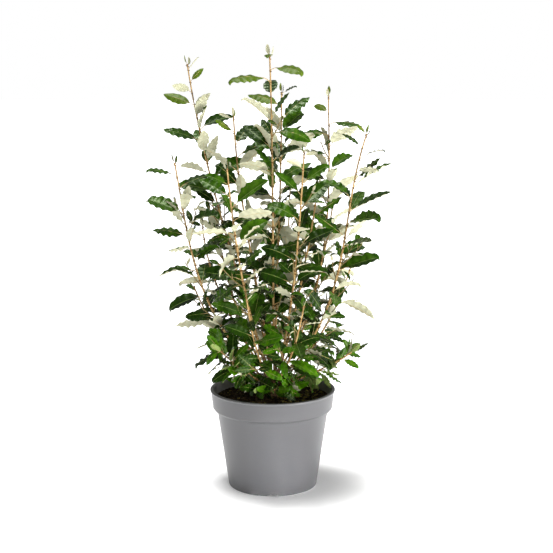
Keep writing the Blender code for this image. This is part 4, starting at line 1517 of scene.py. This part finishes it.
@dataclass
class Plant:
    """The shrub as it grows: first what the solids have, then finer twigs in the room left."""

    pot: Pot
    soil: Soil
    taken: Taken = field(default_factory=Taken)
    masses: list[Mass] = field(default_factory=list)
    fine_twig_length: Span = (0.022, 0.044)
    fine_leaf_share: float = 0.72
    fine_reach: float = 0.78
    fine_step: float = 0.030
    fine_start: Span = (0.2, 0.8)
    fine_chance: float = 0.40
    between_start: Span = (0.095, 0.014)
    between_step: Span = (0.029, 0.012)
    between_end: float = 0.004
    between_share: float = 0.80
    between_lift: float = 20.0
    start_play: Span = (0.8, 1.2)
    step_play: Span = (0.7, 1.3)

    def __post_init__(self) -> None:
        """Takes up the space of the pot, the soil, the trunk and all limbs."""
        self.taken.add("pot", *turned_profile(self.pot.profile()))
        self.taken.add("soil", *turned_profile(self.soil.surface()))
        ends = [TRUNK.centre_at(TRUNK.foot_height), TRUNK.centre_at(TRUNK.top_height)]
        self.taken.add_limb("trunk", ends, [TRUNK.radius, TRUNK.radius])
        for shoot in SHOOTS:
            bough, stem = shoot.limbs()
            if bough:
                radii = tapering(LIMBS.bough_foot, LIMBS.bough_tip, len(bough))
                self.taken.add_limb(f"bough {shoot.name}", bough, radii)
            radii = tapering(shoot.stem_radius(), LIMBS.stem_tip, len(stem.points))
            self.taken.add_limb(shoot.name, stem.points, radii)
            self.masses.append(Mass(shoot, bough, stem))

    def nodes(self) -> list[str]:
        """The solids that the foliage takes the place of."""
        return [f"foliage_{mass.shoot.name}" for mass in self.masses]

    def grow(self) -> None:
        """Grows every mass, and then its finer twigs."""
        for step in (self.grow_main, self.grow_between, self.grow_fine):
            for mass in self.masses:
                step(mass)
            LOG.info("leaves so far: %d", sum(len(mass.leaves) for mass in self.masses))

    def grow_main(self, mass: Mass) -> None:
        """Grows the twigs and leaves that the mass's solid has.

        Args:
            mass: The mass.
        """
        shoot = mass.shoot
        chance = random.Random(f"{SEED} {shoot.name}")
        for index, place in enumerate(RULE.twigs_of(shoot, mass.stem.length, chance)):
            self.add_twig(mass, f"{shoot.name} twig {index}", place)
        stem = Bearer(shoot.name, mass.stem, shoot.leaf_share, chance)
        mass.leaves += RULE.leaves_along(self.taken, stem)
        mass.leaves += RULE.tip_leaves(self.taken, stem)
        for name, way in mass.twigs:
            twig = Bearer(name, way, shoot.leaf_share * RULE.twig_leaf_share, chance)
            mass.leaves += RULE.leaves_along(self.taken, twig)

    def grow_fine(self, mass: Mass) -> None:
        """Grows short leafy twigs from a mass's stem, wherever they are clear of all else.

        Args:
            mass: The mass.
        """
        shoot, total = mass.shoot, mass.stem.length
        chance = random.Random(f"{SEED} {shoot.name} fine")
        place = self.fine_step * chance.uniform(*self.fine_start)
        index = 0
        while place < total * self.fine_reach:
            index += 1
            azimuth = chance.uniform(0.0, FULL_TURN)
            row = TwigPlace(place / total, azimuth, chance.uniform(*self.fine_twig_length))
            name = f"{shoot.name} fine {index}"
            if chance.random() < self.fine_chance and self.add_twig(mass, name, row):
                size = shoot.leaf_share * self.fine_leaf_share
                twig = Bearer(name, mass.twigs[-1][1], size, chance)
                mass.leaves += RULE.leaves_along(self.taken, twig)
                mass.leaves += RULE.tip_leaves(self.taken, twig)
            place += self.fine_step * chance.uniform(*self.step_play)

    def grow_between(self, mass: Mass) -> None:
        """Grows smaller leaves between the main ones of a stem, below its young tip.

        Args:
            mass: The mass.
        """
        shoot, total = mass.shoot, mass.stem.length
        chance = random.Random(f"{SEED} {shoot.name} between")
        low = int(not shoot.bare)
        size = shoot.leaf_share * self.between_share
        from_tip = self.between_start[low] * chance.uniform(*self.start_play)
        while from_tip < total - self.between_end:
            at = mass.stem.at(total - from_tip)
            pose = RULE.leaf_pose(1.0 - from_tip / total, 1.0, size, chance)
            pose = replace(pose, angle=pose.angle - self.between_lift)
            turn = chance.uniform(0.0, FULL_TURN)
            leaf = RULE.settle_leaf(self.taken, shoot.name, at, turn, pose)
            if leaf:
                mass.leaves.append(leaf)
            from_tip += self.between_step[low] * chance.uniform(*self.step_play)

    def add_twig(self, mass: Mass, name: str, place: TwigPlace) -> bool:
        """Adds a side twig to a mass where there is room for it.

        Args:
            mass: The mass.
            name: The twig's name.
            place: Where it grows, its azimuth and its length.

        Returns:
            True where it was added.
        """
        at = mass.stem.at(place.share * mass.stem.length)
        line = RULE.twig_points(at, place.azimuth, place.length)
        start = line[0].lerp(line[1], RULE.twig_guard_start)
        corners, faces = prism(start, line[-1], LIMBS.twig_foot * RULE.twig_guard_swell)
        if self.taken.touches(corners, faces, mass.shoot.name):
            return False
        self.taken.add_limb(name, line, tapering(LIMBS.twig_foot, LIMBS.twig_tip, len(line)))
        mass.twigs.append((name, Way(line)))
        return True


# Foliage meshes
@dataclass
class LeafPattern:
    """One leaf blade, modelled flat as by hand, to be copied and bent along each midrib.

    It lies along X from the end of its stalk (0) to its tip (1). Y is the share of the half
    width and Z is in leaf lengths. Its margin bulges and goes up and down in waves, the
    blade is quilted between them, and its lower face has its own material index.
    """

    seed: int
    wave: float = 0.027
    scallop: float = 0.032
    steps: int = 24
    across: int = 5
    rib_row: float = 0.2
    rib_width: float = 0.055
    rib_sink: float = 0.006
    fullest: float = 0.46
    taper: float = 0.72
    waves: Span = (4.5, 6.0)
    wave_depth: Span = (0.5, 1.3)
    wave_power: float = 1.6
    bulge_lead: float = 0.6
    fold: Span = (-0.060, 0.075)
    thickness: float = 0.010
    rim_merge: float = 0.0004
    touch: float = 0.01

    def half_width(self, share: float) -> float:
        """Share of the half width at a share of the blade's length: an ellipse with a point."""
        skewed = share ** (math.log(0.5) / math.log(self.fullest))
        return max(0.0, math.sin(math.pi * skewed)) ** self.taper

    def build(self) -> Pattern:
        """Models the blade from a grid.

        Returns:
            Its vertices, its faces and the material index of each face.
        """
        take_up()
        bpy.ops.mesh.primitive_grid_add(
            x_subdivisions=self.steps, y_subdivisions=self.across, size=1.0, location=(0.5, 0.0, 0.0),
        )
        blade = name_piece("leaf_pattern")
        blade.scale = (1.0, 2.0, 1.0)
        settle(blade)
        rib = self.rib_row + self.touch
        with picked(blade, {vertex.index for vertex in blade.data.vertices if abs(vertex.co.y) < rib}):
            narrow = (1.0, self.rib_width / self.rib_row, 1.0)
            bpy.ops.transform.resize(value=narrow, center_override=(0.0, 0.0, 0.0))
        chance = random.Random(f"{SEED} leaf {self.seed}")
        margins = {}
        for side in (-1.0, 1.0):
            count = chance.uniform(*self.waves)
            phase = chance.uniform(0.0, math.tau)
            margins[side] = (count, phase, chance.uniform(*self.wave_depth))
        fold = chance.uniform(*self.fold)
        for step in range(self.steps + 1):
            for side, margin in margins.items():
                self.shape_column(blade, step / self.steps, side, margin, fold)
        self.close(blade)
        for face in blade.data.polygons:
            if not face.material_index and abs(face.center.y) < self.rib_width / 4.0:
                face.material_index = 2
        return take_pattern(blade)

    def shape_column(self, blade: bpy.types.Object, place: float, side: float, margin: Triple,
                     fold: float) -> None:
        """Narrows one side of a column of the grid and raises it into waves.

        Args:
            blade: The blade.
            place: Where the column is.
            side: Which side, 1 or -1.
            margin: The count, phase and depth of that side's waves.
            fold: How far the blade is folded up about its midrib.
        """
        count, phase, depth = margin
        width = self.half_width(place)
        swing = math.sin(math.tau * count * place + phase)
        bulge = math.cos(math.tau * count * place + phase + self.bulge_lead)
        column = {
            vertex.index: round(vertex.co.y, 4)
            for vertex in blade.data.vertices
            if abs(vertex.co.x - place) < self.touch and vertex.co.y * side > self.touch
        }
        with picked(blade, set(column)):
            reach = width * (1.0 + self.scallop * depth * bulge)
            bpy.ops.transform.resize(value=(1.0, reach, 1.0), center_override=(place, 0.0, 0.0))
        for level in set(column.values()):
            share = abs(level)
            rise = self.wave * depth * swing * share ** self.wave_power * width + fold * share * width
            rise -= self.rib_sink * width * (share < self.rib_row)
            with picked(blade, {index for index, row in column.items() if row == level}):
                bpy.ops.transform.translate(value=(0.0, 0.0, rise))

    def close(self, blade: bpy.types.Object) -> None:
        """Gives the blade its thickness, none at the rim, and closes it there.

        Args:
            blade: The blade.
        """
        uses = Counter(key for face in blade.data.polygons for key in face.edge_keys)
        rim = {index for key, count in uses.items() if count == 1 for index in key}
        inner = blade.vertex_groups.new(name="inner")
        inner.add([vertex.index for vertex in blade.data.vertices if vertex.index not in rim], 1.0, "REPLACE")
        wall = blade.modifiers.new("thickness", "SOLIDIFY")
        wall.thickness = self.thickness
        wall.offset = -1.0
        wall.use_rim = False
        wall.vertex_group = inner.name
        wall.thickness_vertex_group = 0.0
        wall.material_offset = 1
        blade.data.materials.append(None)
        blade.data.materials.append(None)
        apply_all(blade)
        close_up(blade, self.rim_merge)


@dataclass
class Midrib:
    """A leaf's bent midrib: shares along it, and its place, up and side directions there."""

    shares: np.ndarray
    rows: np.ndarray

    def at(self, places: np.ndarray) -> tuple[np.ndarray, np.ndarray, np.ndarray]:
        """Places, up directions and side directions at shares of the leaf's length.

        Args:
            places: The shares.

        Returns:
            One row of each for every share.
        """
        table = np.stack([np.interp(places, self.shares, column) for column in self.rows.T], axis=1)
        return table[:, 0:3], table[:, 3:6], table[:, 6:9]


SEEN_SHARES = {View.TOP: 0.42, View.OVER: 0.42, View.UNDERSIDE: 0.34, View.SIDE: 0.27}


@dataclass
class Foliage:
    """The leaves, stalks, stems, twigs and buds of the shrub, joined each kind apart."""

    plant: Plant
    ribs: list[tuple[Leaf, Midrib]] = field(default_factory=list)
    half_width_share: float = 0.178
    light: Triple = (0.0, -0.98, 0.20)
    show_share: Span = (0.20, 0.34)
    show_heights: Span = (0.27, 0.50)
    show_play: float = 0.12
    show_reach: float = 1.4
    top_chance: Span = (0.49, 0.55)
    crown_middle: float = 0.46
    low_size: float = 0.90
    bright_length: Span = (0.030, 0.044)
    low_length: Span = (0.029, 0.042)
    low_height: float = 0.255
    cluster_height: float = 0.757
    cluster_size: float = 1.3
    kink_shares: Span = (0.3, 1.1)
    arch_shares: Span = (0.6, 1.5)
    arch_over: float = 28.0
    kink_over: float = 36.0
    light_stretch: float = 0.15
    patterns: int = 8
    calm_patterns: int = 2
    calm_wave: float = 0.016
    calm_scallop: float = 0.014
    width_play: float = 0.12
    twist_play: float = 24.0
    curl_chance: float = 0.45
    curl: float = 95.0
    curl_start: float = 0.86
    curl_noise: float = 12.0
    blade_steps: int = 15
    stalk_radius: float = 0.00072
    rib_radius: float = 0.00050
    rib_end_radius: float = 0.00022
    rib_places: tuple[float, ...] = (0.34, 0.52, 0.70, 0.92)
    rib_depth: float = 0.011
    least_rib: float = 0.55
    stem_swells: Span = (0.90, 1.25)
    stem_step: float = 0.0075
    node_radius: float = 1.30
    node_length: float = 0.0024
    node_top: float = 0.5
    node_lean: Triple = (0.25, 0.0, 0.35)
    young_reach: float = 0.070
    young_play: Span = (0.3, 1.2)
    young_height: float = 0.60
    young_share: float = 0.85
    painted_shade_radius: float = 0.11
    deep_from: Span = (0.70, 0.34)
    middle_below: Span = (0.34, 0.16)
    bright_height: float = 0.285
    bright_edge: float = 0.03
    bright_shares: Span = (0.60, 0.34)
    bright_shoots: tuple[str, ...] = ("basal", "low_left_branch", "low_right_branch")

    def build(self) -> None:
        """Builds every joined piece of foliage."""
        for mass in self.plant.masses:
            self.age_leaves(mass)
        self.blades()
        rows = (
            ("leaf_stalks", self.stalk_lines(), 4, STALK),
            ("stems", self.stem_lines(), 8, STEM_TAN),
            ("twigs", self.twig_lines(), 6, STEM_OLIVE),
        )
        for name, lines, sides, finish in rows:
            dress(tubes(name, lines, sides), [finish], 60.0, self.plant.nodes())
        self.buds()

    def age_leaves(self, mass: Mass) -> None:
        """Deals out the kinds of leaf: young at the tops, bright at the foot, the rest by spray, darker near
        the axis as painted shade.

        Args:
            mass: The mass that they grow on.
        """
        name = mass.shoot.name
        chance = random.Random(f"{SEED} {name} kinds")
        sprays: dict[str, LeafKind] = {}
        for leaf in mass.leaves:
            reach = self.young_reach * chance.uniform(*self.young_play)
            near_tip = (leaf.root - mass.stem.points[-1]).length < reach
            drawn = chance.random()
            # Partly painted shade: near the axis most leaves take the deep green and few the middle green;
            # elsewhere the split is random tone.
            inside = math.hypot(leaf.root.x, leaf.root.y) < self.painted_shade_radius
            plain = LeafKind.DEEP if drawn > self.deep_from[inside] else LeafKind.MATURE
            if drawn < self.middle_below[inside]:
                plain = LeafKind.MIDDLE
            if chance.random() < self.bright_share(name, leaf.root):
                leaf.kind = LeafKind.BRIGHT
            elif near_tip and drawn < self.young_share and leaf.root.z > self.young_height:
                leaf.kind = LeafKind.YOUNG
            elif leaf.limb == name:
                leaf.kind = plain
            else:
                leaf.kind = sprays.setdefault(leaf.limb, plain)

    def bright_share(self, shoot: str, root: Vector) -> float:
        """Share of bright leaves: on the sprays at the foot, and low down at the front left.

        Args:
            shoot: The shoot's name.
            root: Where the leaf grows.

        Returns:
            The share.
        """
        if shoot.startswith(self.bright_shoots):
            return self.bright_shares[0]
        low = root.z < self.bright_height and max(root.x, root.y) < self.bright_edge
        return self.bright_shares[1] if low else 0.0

    def shown_leaf(self, leaf: Leaf, chance: random.Random) -> Leaf:
        """The leaf as it is seen: sized by its place, and kinked and arched by its own measure.

        Args:
            leaf: The leaf as the rule sets it.
            chance: The random draws.

        Returns:
            The leaf that is drawn.
        """
        size = float(np.interp(leaf.root.z, self.show_heights, (self.low_size, 1.0)))
        if leaf.kind is LeafKind.BRIGHT:
            size = max(1.0, chance.uniform(*self.bright_length) / leaf.length)
        elif leaf.root.z < self.low_height:
            size = max(1.0, chance.uniform(*self.low_length) / leaf.length)
        elif leaf.root.z > self.cluster_height:
            size = self.cluster_size
        kink = leaf.kink * chance.uniform(*self.kink_shares)
        arch = leaf.arch * chance.uniform(*self.arch_shares)
        if leaf.view is View.OVER:
            kink = math.radians(self.kink_over)
            arch += math.radians(self.arch_over)
        return replace(leaf, length=leaf.length * size, kink=kink, arch=arch)

    def midrib(self, leaf: Leaf, chance: random.Random) -> Midrib:
        """Bends a leaf's midrib: arched, curled at its tip, twisted and turned to the light.

        Args:
            leaf: The leaf.
            chance: The random draws.

        Returns:
            The midrib.
        """
        curl = math.radians(self.curl) if chance.random() < self.curl_chance else 0.0
        curl += math.radians(chance.uniform(-self.curl_noise, self.curl_noise))
        twist = math.radians(chance.uniform(-self.twist_play, self.twist_play))
        lit = self.turn_to_show(leaf, chance)
        start = RULE.petiole_share
        shares = [0.0, start * 0.5, *np.linspace(start, 1.0, self.blade_steps)]
        rows = []
        point = leaf.root
        previous = 0.0
        for share in shares:
            middle = (share + previous) / 2.0
            turned = leaf.turn_at(middle) + self.curl_at(middle, curl)
            heading = leaf.along * math.cos(turned) - leaf.up * math.sin(turned)
            point = point + heading * (leaf.length * (share - previous))
            turned = leaf.turn_at(share) + self.curl_at(share, curl)
            up = leaf.up * math.cos(turned) + leaf.along * math.sin(turned)
            blade = max(0.0, share - start)
            angle = twist * blade + lit * min(1.0, blade / self.light_stretch)
            lifted = up * math.cos(angle) + leaf.side * math.sin(angle)
            across = leaf.side * math.cos(angle) - up * math.sin(angle)
            rows.append((*point, *lifted, *across))
            previous = share
        return Midrib(np.array(shares), np.array(rows))

    def curl_at(self, share: float, curl: float) -> float:
        """How far the curled tip has turned on by a share of the leaf's length."""
        return curl * max(0.0, (share - self.curl_start) / (1.0 - self.curl_start))

    def turn_to_show(self, leaf: Leaf, chance: random.Random) -> float:
        """Angle about its midrib by which a blade turns its top or its underside outwards.

        Args:
            leaf: The leaf.
            chance: The random draws.

        Returns:
            The angle.
        """
        _, up = leaf.place_at(0.5)
        light = Vector(self.light)
        share = float(np.interp(leaf.root.z, self.show_heights, self.show_share))
        share += chance.uniform(-self.show_play, self.show_play)
        top_shown = chance.random() < self.top_chance[leaf.root.z <= self.crown_middle]
        if leaf.view:
            top_shown = leaf.view is not View.UNDERSIDE
            share = SEEN_SHARES[leaf.view]
        angle = math.atan2(light.dot(leaf.side), light.dot(up))
        if not top_shown:
            angle -= math.copysign(math.pi, angle)
        return share * angle * min(1.0, self.show_reach * abs(light.dot(leaf.side)))

    def blade_corners(self, leaf: Leaf, rib: Midrib, flat: np.ndarray, width: float) -> np.ndarray:
        """Bends a copy of the blade along a leaf's midrib.

        Args:
            leaf: The leaf.
            rib: Its midrib.
            flat: The flat blade's vertices.
            width: Its width beside the common one.

        Returns:
            The bent blade's vertices.
        """
        start = RULE.petiole_share
        point, up, side = rib.at(start + np.clip(flat[:, 0], 0.0, 1.0) * (1.0 - start))
        half = leaf.length * self.half_width_share * width
        return point + side * (flat[:, 1:2] * half) + up * (flat[:, 2:3] * leaf.length)

    def blades(self) -> None:
        """The blades, one joined piece for each kind of leaf."""
        patterns = [LeafPattern(seed).build() for seed in range(self.patterns)]
        calm = []
        for seed in range(self.calm_patterns):
            calm.append(LeafPattern(self.patterns + seed, self.calm_wave, self.calm_scallop).build())
        joined = {kind: Copies() for kind in LeafKind}
        for mass in self.plant.masses:
            chance = random.Random(f"{SEED} {mass.shoot.name} blades")
            for leaf in mass.leaves:
                young = leaf.kind is LeafKind.YOUNG or leaf.view is View.OVER
                pattern = chance.choice(calm if young else patterns)
                shown = self.shown_leaf(leaf, chance)
                rib = self.midrib(shown, chance)
                self.ribs.append((shown, rib))
                width = 1.0 + chance.uniform(-self.width_play, self.width_play)
                joined[leaf.kind].add(self.blade_corners(shown, rib, pattern[0], width), pattern)
        for kind, copies in joined.items():
            under = SOFT_GREEN if kind is LeafKind.BRIGHT else SILVER
            piece = copies.piece(f"leaves_{kind.value}")
            finishes = (TOPS[kind], under, MIDRIB)
            dress(piece, finishes, 75.0, self.plant.nodes(), copies.sides)

    def stalk_lines(self) -> list[tuple[Line, list[float]]]:
        """The leaf stalks' points and radii, each run on as the raised midrib under its blade.

        Returns:
            The points and radii of each.
        """
        lines = []
        start = RULE.petiole_share
        shares = np.array((0.0, 0.5 * start, start, *self.rib_places))
        for leaf, rib in self.ribs:
            point, up, _ = rib.at(shares)
            sunk = (shares > start)[:, None] * (self.rib_depth * leaf.length)
            size = min(1.0, max(self.least_rib, leaf.length / RULE.leaf_length))
            radii = np.where(shares > start, self.rib_radius, self.stalk_radius) * size
            radii[-1] = self.rib_end_radius * size
            lines.append(([Vector(place) for place in point - up * sunk], radii.tolist()))
        return lines

    def stem_lines(self) -> list[tuple[Line, list[float]]]:
        """Points and radii of the stems that carry the leaves, on from the boughs to the tips.

        Returns:
            The points and radii of each.
        """
        lines = []
        foot, tip = self.stem_swells
        for mass in self.plant.masses:
            way = mass.shoot.way()
            line = way.stretch(mass.shoot.bare, way.length, self.stem_step)
            radii = tapering(mass.shoot.stem_radius() * foot, LIMBS.stem_tip * tip, len(line))
            lines.append((line, radii))
        return lines

    def twig_lines(self) -> list[tuple[Line, list[float]]]:
        """Points and radii of the side twigs."""
        lines = [way.points for mass in self.plant.masses for _, way in mass.twigs]
        return [(line, tapering(LIMBS.twig_foot, LIMBS.twig_tip, len(line))) for line in lines]

    def buds(self) -> None:
        """The dark swellings where leaves leave the stems, each with its bud."""
        take_up()
        bpy.ops.mesh.primitive_uv_sphere_add(segments=6, ring_count=4, radius=1.0)
        bud = name_piece("bud_pattern")
        with picked(bud, {vertex.index for vertex in bud.data.vertices if vertex.co.z > self.node_top}):
            bpy.ops.transform.translate(value=self.node_lean)
        pattern = take_pattern(bud)
        copies = Copies()
        for mass in self.plant.masses:
            foot = mass.shoot.stem_radius()
            for leaf in mass.leaves:
                if leaf.limb != mass.shoot.name:
                    continue
                run = (leaf.root - mass.stem.points[0]).length / max(mass.stem.length, MERGE)
                radius = between((foot, LIMBS.stem_tip), min(1.0, run)) * self.node_radius
                across = leaf.along.cross(leaf.side)
                turned = np.array((leaf.along[:], leaf.side[:], across[:]))
                drawn = pattern[0] * (radius, radius, self.node_length)
                copies.add(drawn @ turned + np.array(leaf.root[:]), pattern)
        dress(copies.piece("buds"), [NODE_BROWN], 60.0, self.plant.nodes())


@dataclass
class WoodyBase:
    """The trunk and the bare boughs, with the bark's relief."""

    plant: Plant
    trunk_sides: int = 24
    trunk_step: float = 0.0016
    bough_sides: int = 12
    bough_step: float = 0.0025
    relief: float = 0.0005
    bough_relief: float = 0.00025
    bough_swell: float = 0.84
    furrows: float = 700.0
    furrow_stretch: float = 0.25
    furrow_detail: float = 2.3
    level: float = 0.9

    def build(self) -> None:
        """Builds the trunk and the boughs."""
        steps = round((TRUNK.top_height - TRUNK.foot_height) / self.trunk_step)
        rise = (TRUNK.top_height - TRUNK.foot_height) / steps
        heights = [TRUNK.foot_height + rise * step for step in range(steps + 1)]
        line = [TRUNK.centre_at(height) for height in heights]
        radii = [TRUNK.radius_at(height) for height in heights]
        self.bark(tubes("trunk_bark", [(line, radii)], self.trunk_sides), self.relief, ["trunk"])
        lines, names = [], []
        foot, tip = LIMBS.bough_foot * self.bough_swell, LIMBS.bough_tip * self.bough_swell
        for mass in self.plant.masses:
            if mass.bough:
                line = mass.shoot.way().stretch(0.0, mass.shoot.bare, self.bough_step)
                lines.append((line, tapering(foot, tip, len(line))))
                names.append(f"bough_{mass.shoot.name}")
        self.bark(tubes("boughs_bark", lines, self.bough_sides), self.bough_relief, names)

    def bark(self, piece: bpy.types.Object, depth: float, nodes: list[str]) -> None:
        """Sinks long furrows into a piece, apart from its flat ends, and dresses it in bark.

        Args:
            piece: The limb or limbs.
            depth: How deep the furrows are.
            nodes: The solids that it replaces.
        """
        normals = [vertex.normal.copy() for vertex in piece.data.vertices]
        for vertex, normal in zip(piece.data.vertices, normals):
            place = vertex.co.copy()
            place.z *= self.furrow_stretch
            place *= self.furrows
            sunk = noise.noise(place) + 0.5 * noise.noise(place * self.furrow_detail)
            vertex.co -= normal * depth * max(0.0, 0.5 + sunk) * (abs(normal.z) < self.level)
        dress(piece, [BARK], 60.0, nodes)


# Studio
@dataclass(frozen=True)
class Lamp:
    """A soft area light: where it hangs and points, its side, its watts and how far it fans out."""

    name: str
    place: Triple
    aim: Triple
    size: float
    power: float
    spread: float = 180.0


LAMPS = (
    Lamp("right", (2.3, -1.5, 0.42), (0.0, 0.0, 0.20), 1.0, 92.0),
    Lamp("front", (0.9, -2.2, 0.16), (0.0, 0.0, 0.02), 0.8, 30.0),
    Lamp("foot", (0.45, -1.6, 0.03), (0.0, -0.08, 0.02), 0.05, 0.13, 14.0),
)


@dataclass
class Studio:
    """White floor and surround, soft lights and the camera at the photo's viewing angle."""

    lens: float = 83.57
    sensor: float = 36.0
    camera_place: Triple = (0.007, -2.2525, 0.771)
    camera_pitch: float = 0.1709
    floor_side: float = 40.0
    floor_drop: float = 0.0002
    sweep_middle: Triple = (0.03, 0.0, 0.0)
    sweep_span: Span = (0.065, 0.195)
    painted_glow: float = 0.65
    surround_light: float = 0.29
    sun_strength: float = 3.5
    sun_softness: float = 17.0
    sun_place: Triple = (-0.20, 0.15, 1.6)

    def build(self) -> None:
        """Sets up the floor, the world, the lights and the camera."""
        scene = bpy.context.scene
        scene.view_settings.view_transform = "Standard"
        self.floor()
        self.surround()
        sun = bpy.data.lights.new("sun", "SUN")
        sun.energy = self.sun_strength
        sun.angle = math.radians(self.sun_softness)
        self.aim(place_new("sun", sun), -Vector(self.sun_place))
        for lamp in LAMPS:
            data = bpy.data.lights.new(lamp.name, "AREA")
            data.spread = math.radians(lamp.spread)
            data.size = lamp.size
            data.energy = lamp.power
            light = place_new(lamp.name, data)
            light.location = lamp.place
            self.aim(light, Vector(lamp.aim) - Vector(lamp.place))
        data = bpy.data.cameras.new("camera")
        data.lens = self.lens
        data.sensor_width = self.sensor
        scene.camera = place_new("camera", data)
        scene.camera.location = self.camera_place
        scene.camera.rotation_euler = (math.pi / 2.0 - self.camera_pitch, 0.0, 0.0)

    @staticmethod
    def aim(light: bpy.types.Object, direction: Vector) -> None:
        """Points a light in a direction."""
        light.rotation_euler = direction.to_track_quat("-Z", "Y").to_euler()

    def floor(self) -> None:
        """The plain pale floor, with a painted glow: away from the pot it emits white, which paints out the
        shade there and leaves only the shadow near the pot.
        """
        take_up()
        bpy.ops.mesh.primitive_plane_add(size=self.floor_side, location=(0.0, 0.0, -self.floor_drop))
        floor = name_piece("floor")
        material = FLOOR_WHITE.material()
        floor.data.materials.append(material)
        tree = material.node_tree
        shader = tree.nodes["Principled BSDF"].inputs
        shader["Emission Color"].default_value = WHITE
        distance = tree.nodes.new("ShaderNodeVectorMath")
        distance.operation = "DISTANCE"
        distance.inputs[1].default_value = self.sweep_middle
        tree.links.new(object_place(tree), distance.inputs[0])
        # Painted light: the emission rises from nothing near the pot to full glow further out.
        glow = (0.0, self.painted_glow)
        strength = shader["Emission Strength"]
        carry_over(tree, distance.outputs["Value"], self.sweep_span, glow, strength, "SMOOTHSTEP")

    def surround(self) -> None:
        """The white surround: full white behind the plant, and softer as a light."""
        world = bpy.data.worlds.new("surround")
        world.use_nodes = True
        tree = world.node_tree
        shade = tree.nodes["Background"].inputs
        shade["Color"].default_value = WHITE
        seen = tree.nodes.new("ShaderNodeLightPath").outputs["Is Camera Ray"]
        carry_over(tree, seen, (0.0, 1.0), (self.surround_light, 1.0), shade["Strength"])
        bpy.context.scene.world = world


def main() -> None:
    """Builds the potted shrub's looks in order."""
    logging.basicConfig(level=logging.INFO, format="%(name)s: %(message)s")
    Studio().build()
    pot = Pot()
    pot.build()
    soil = Soil(pot)
    soil.build()
    plant = Plant(pot, soil)
    plant.grow()
    WoodyBase(plant).build()
    Foliage(plant).build()


if __name__ == "__main__":
    main()
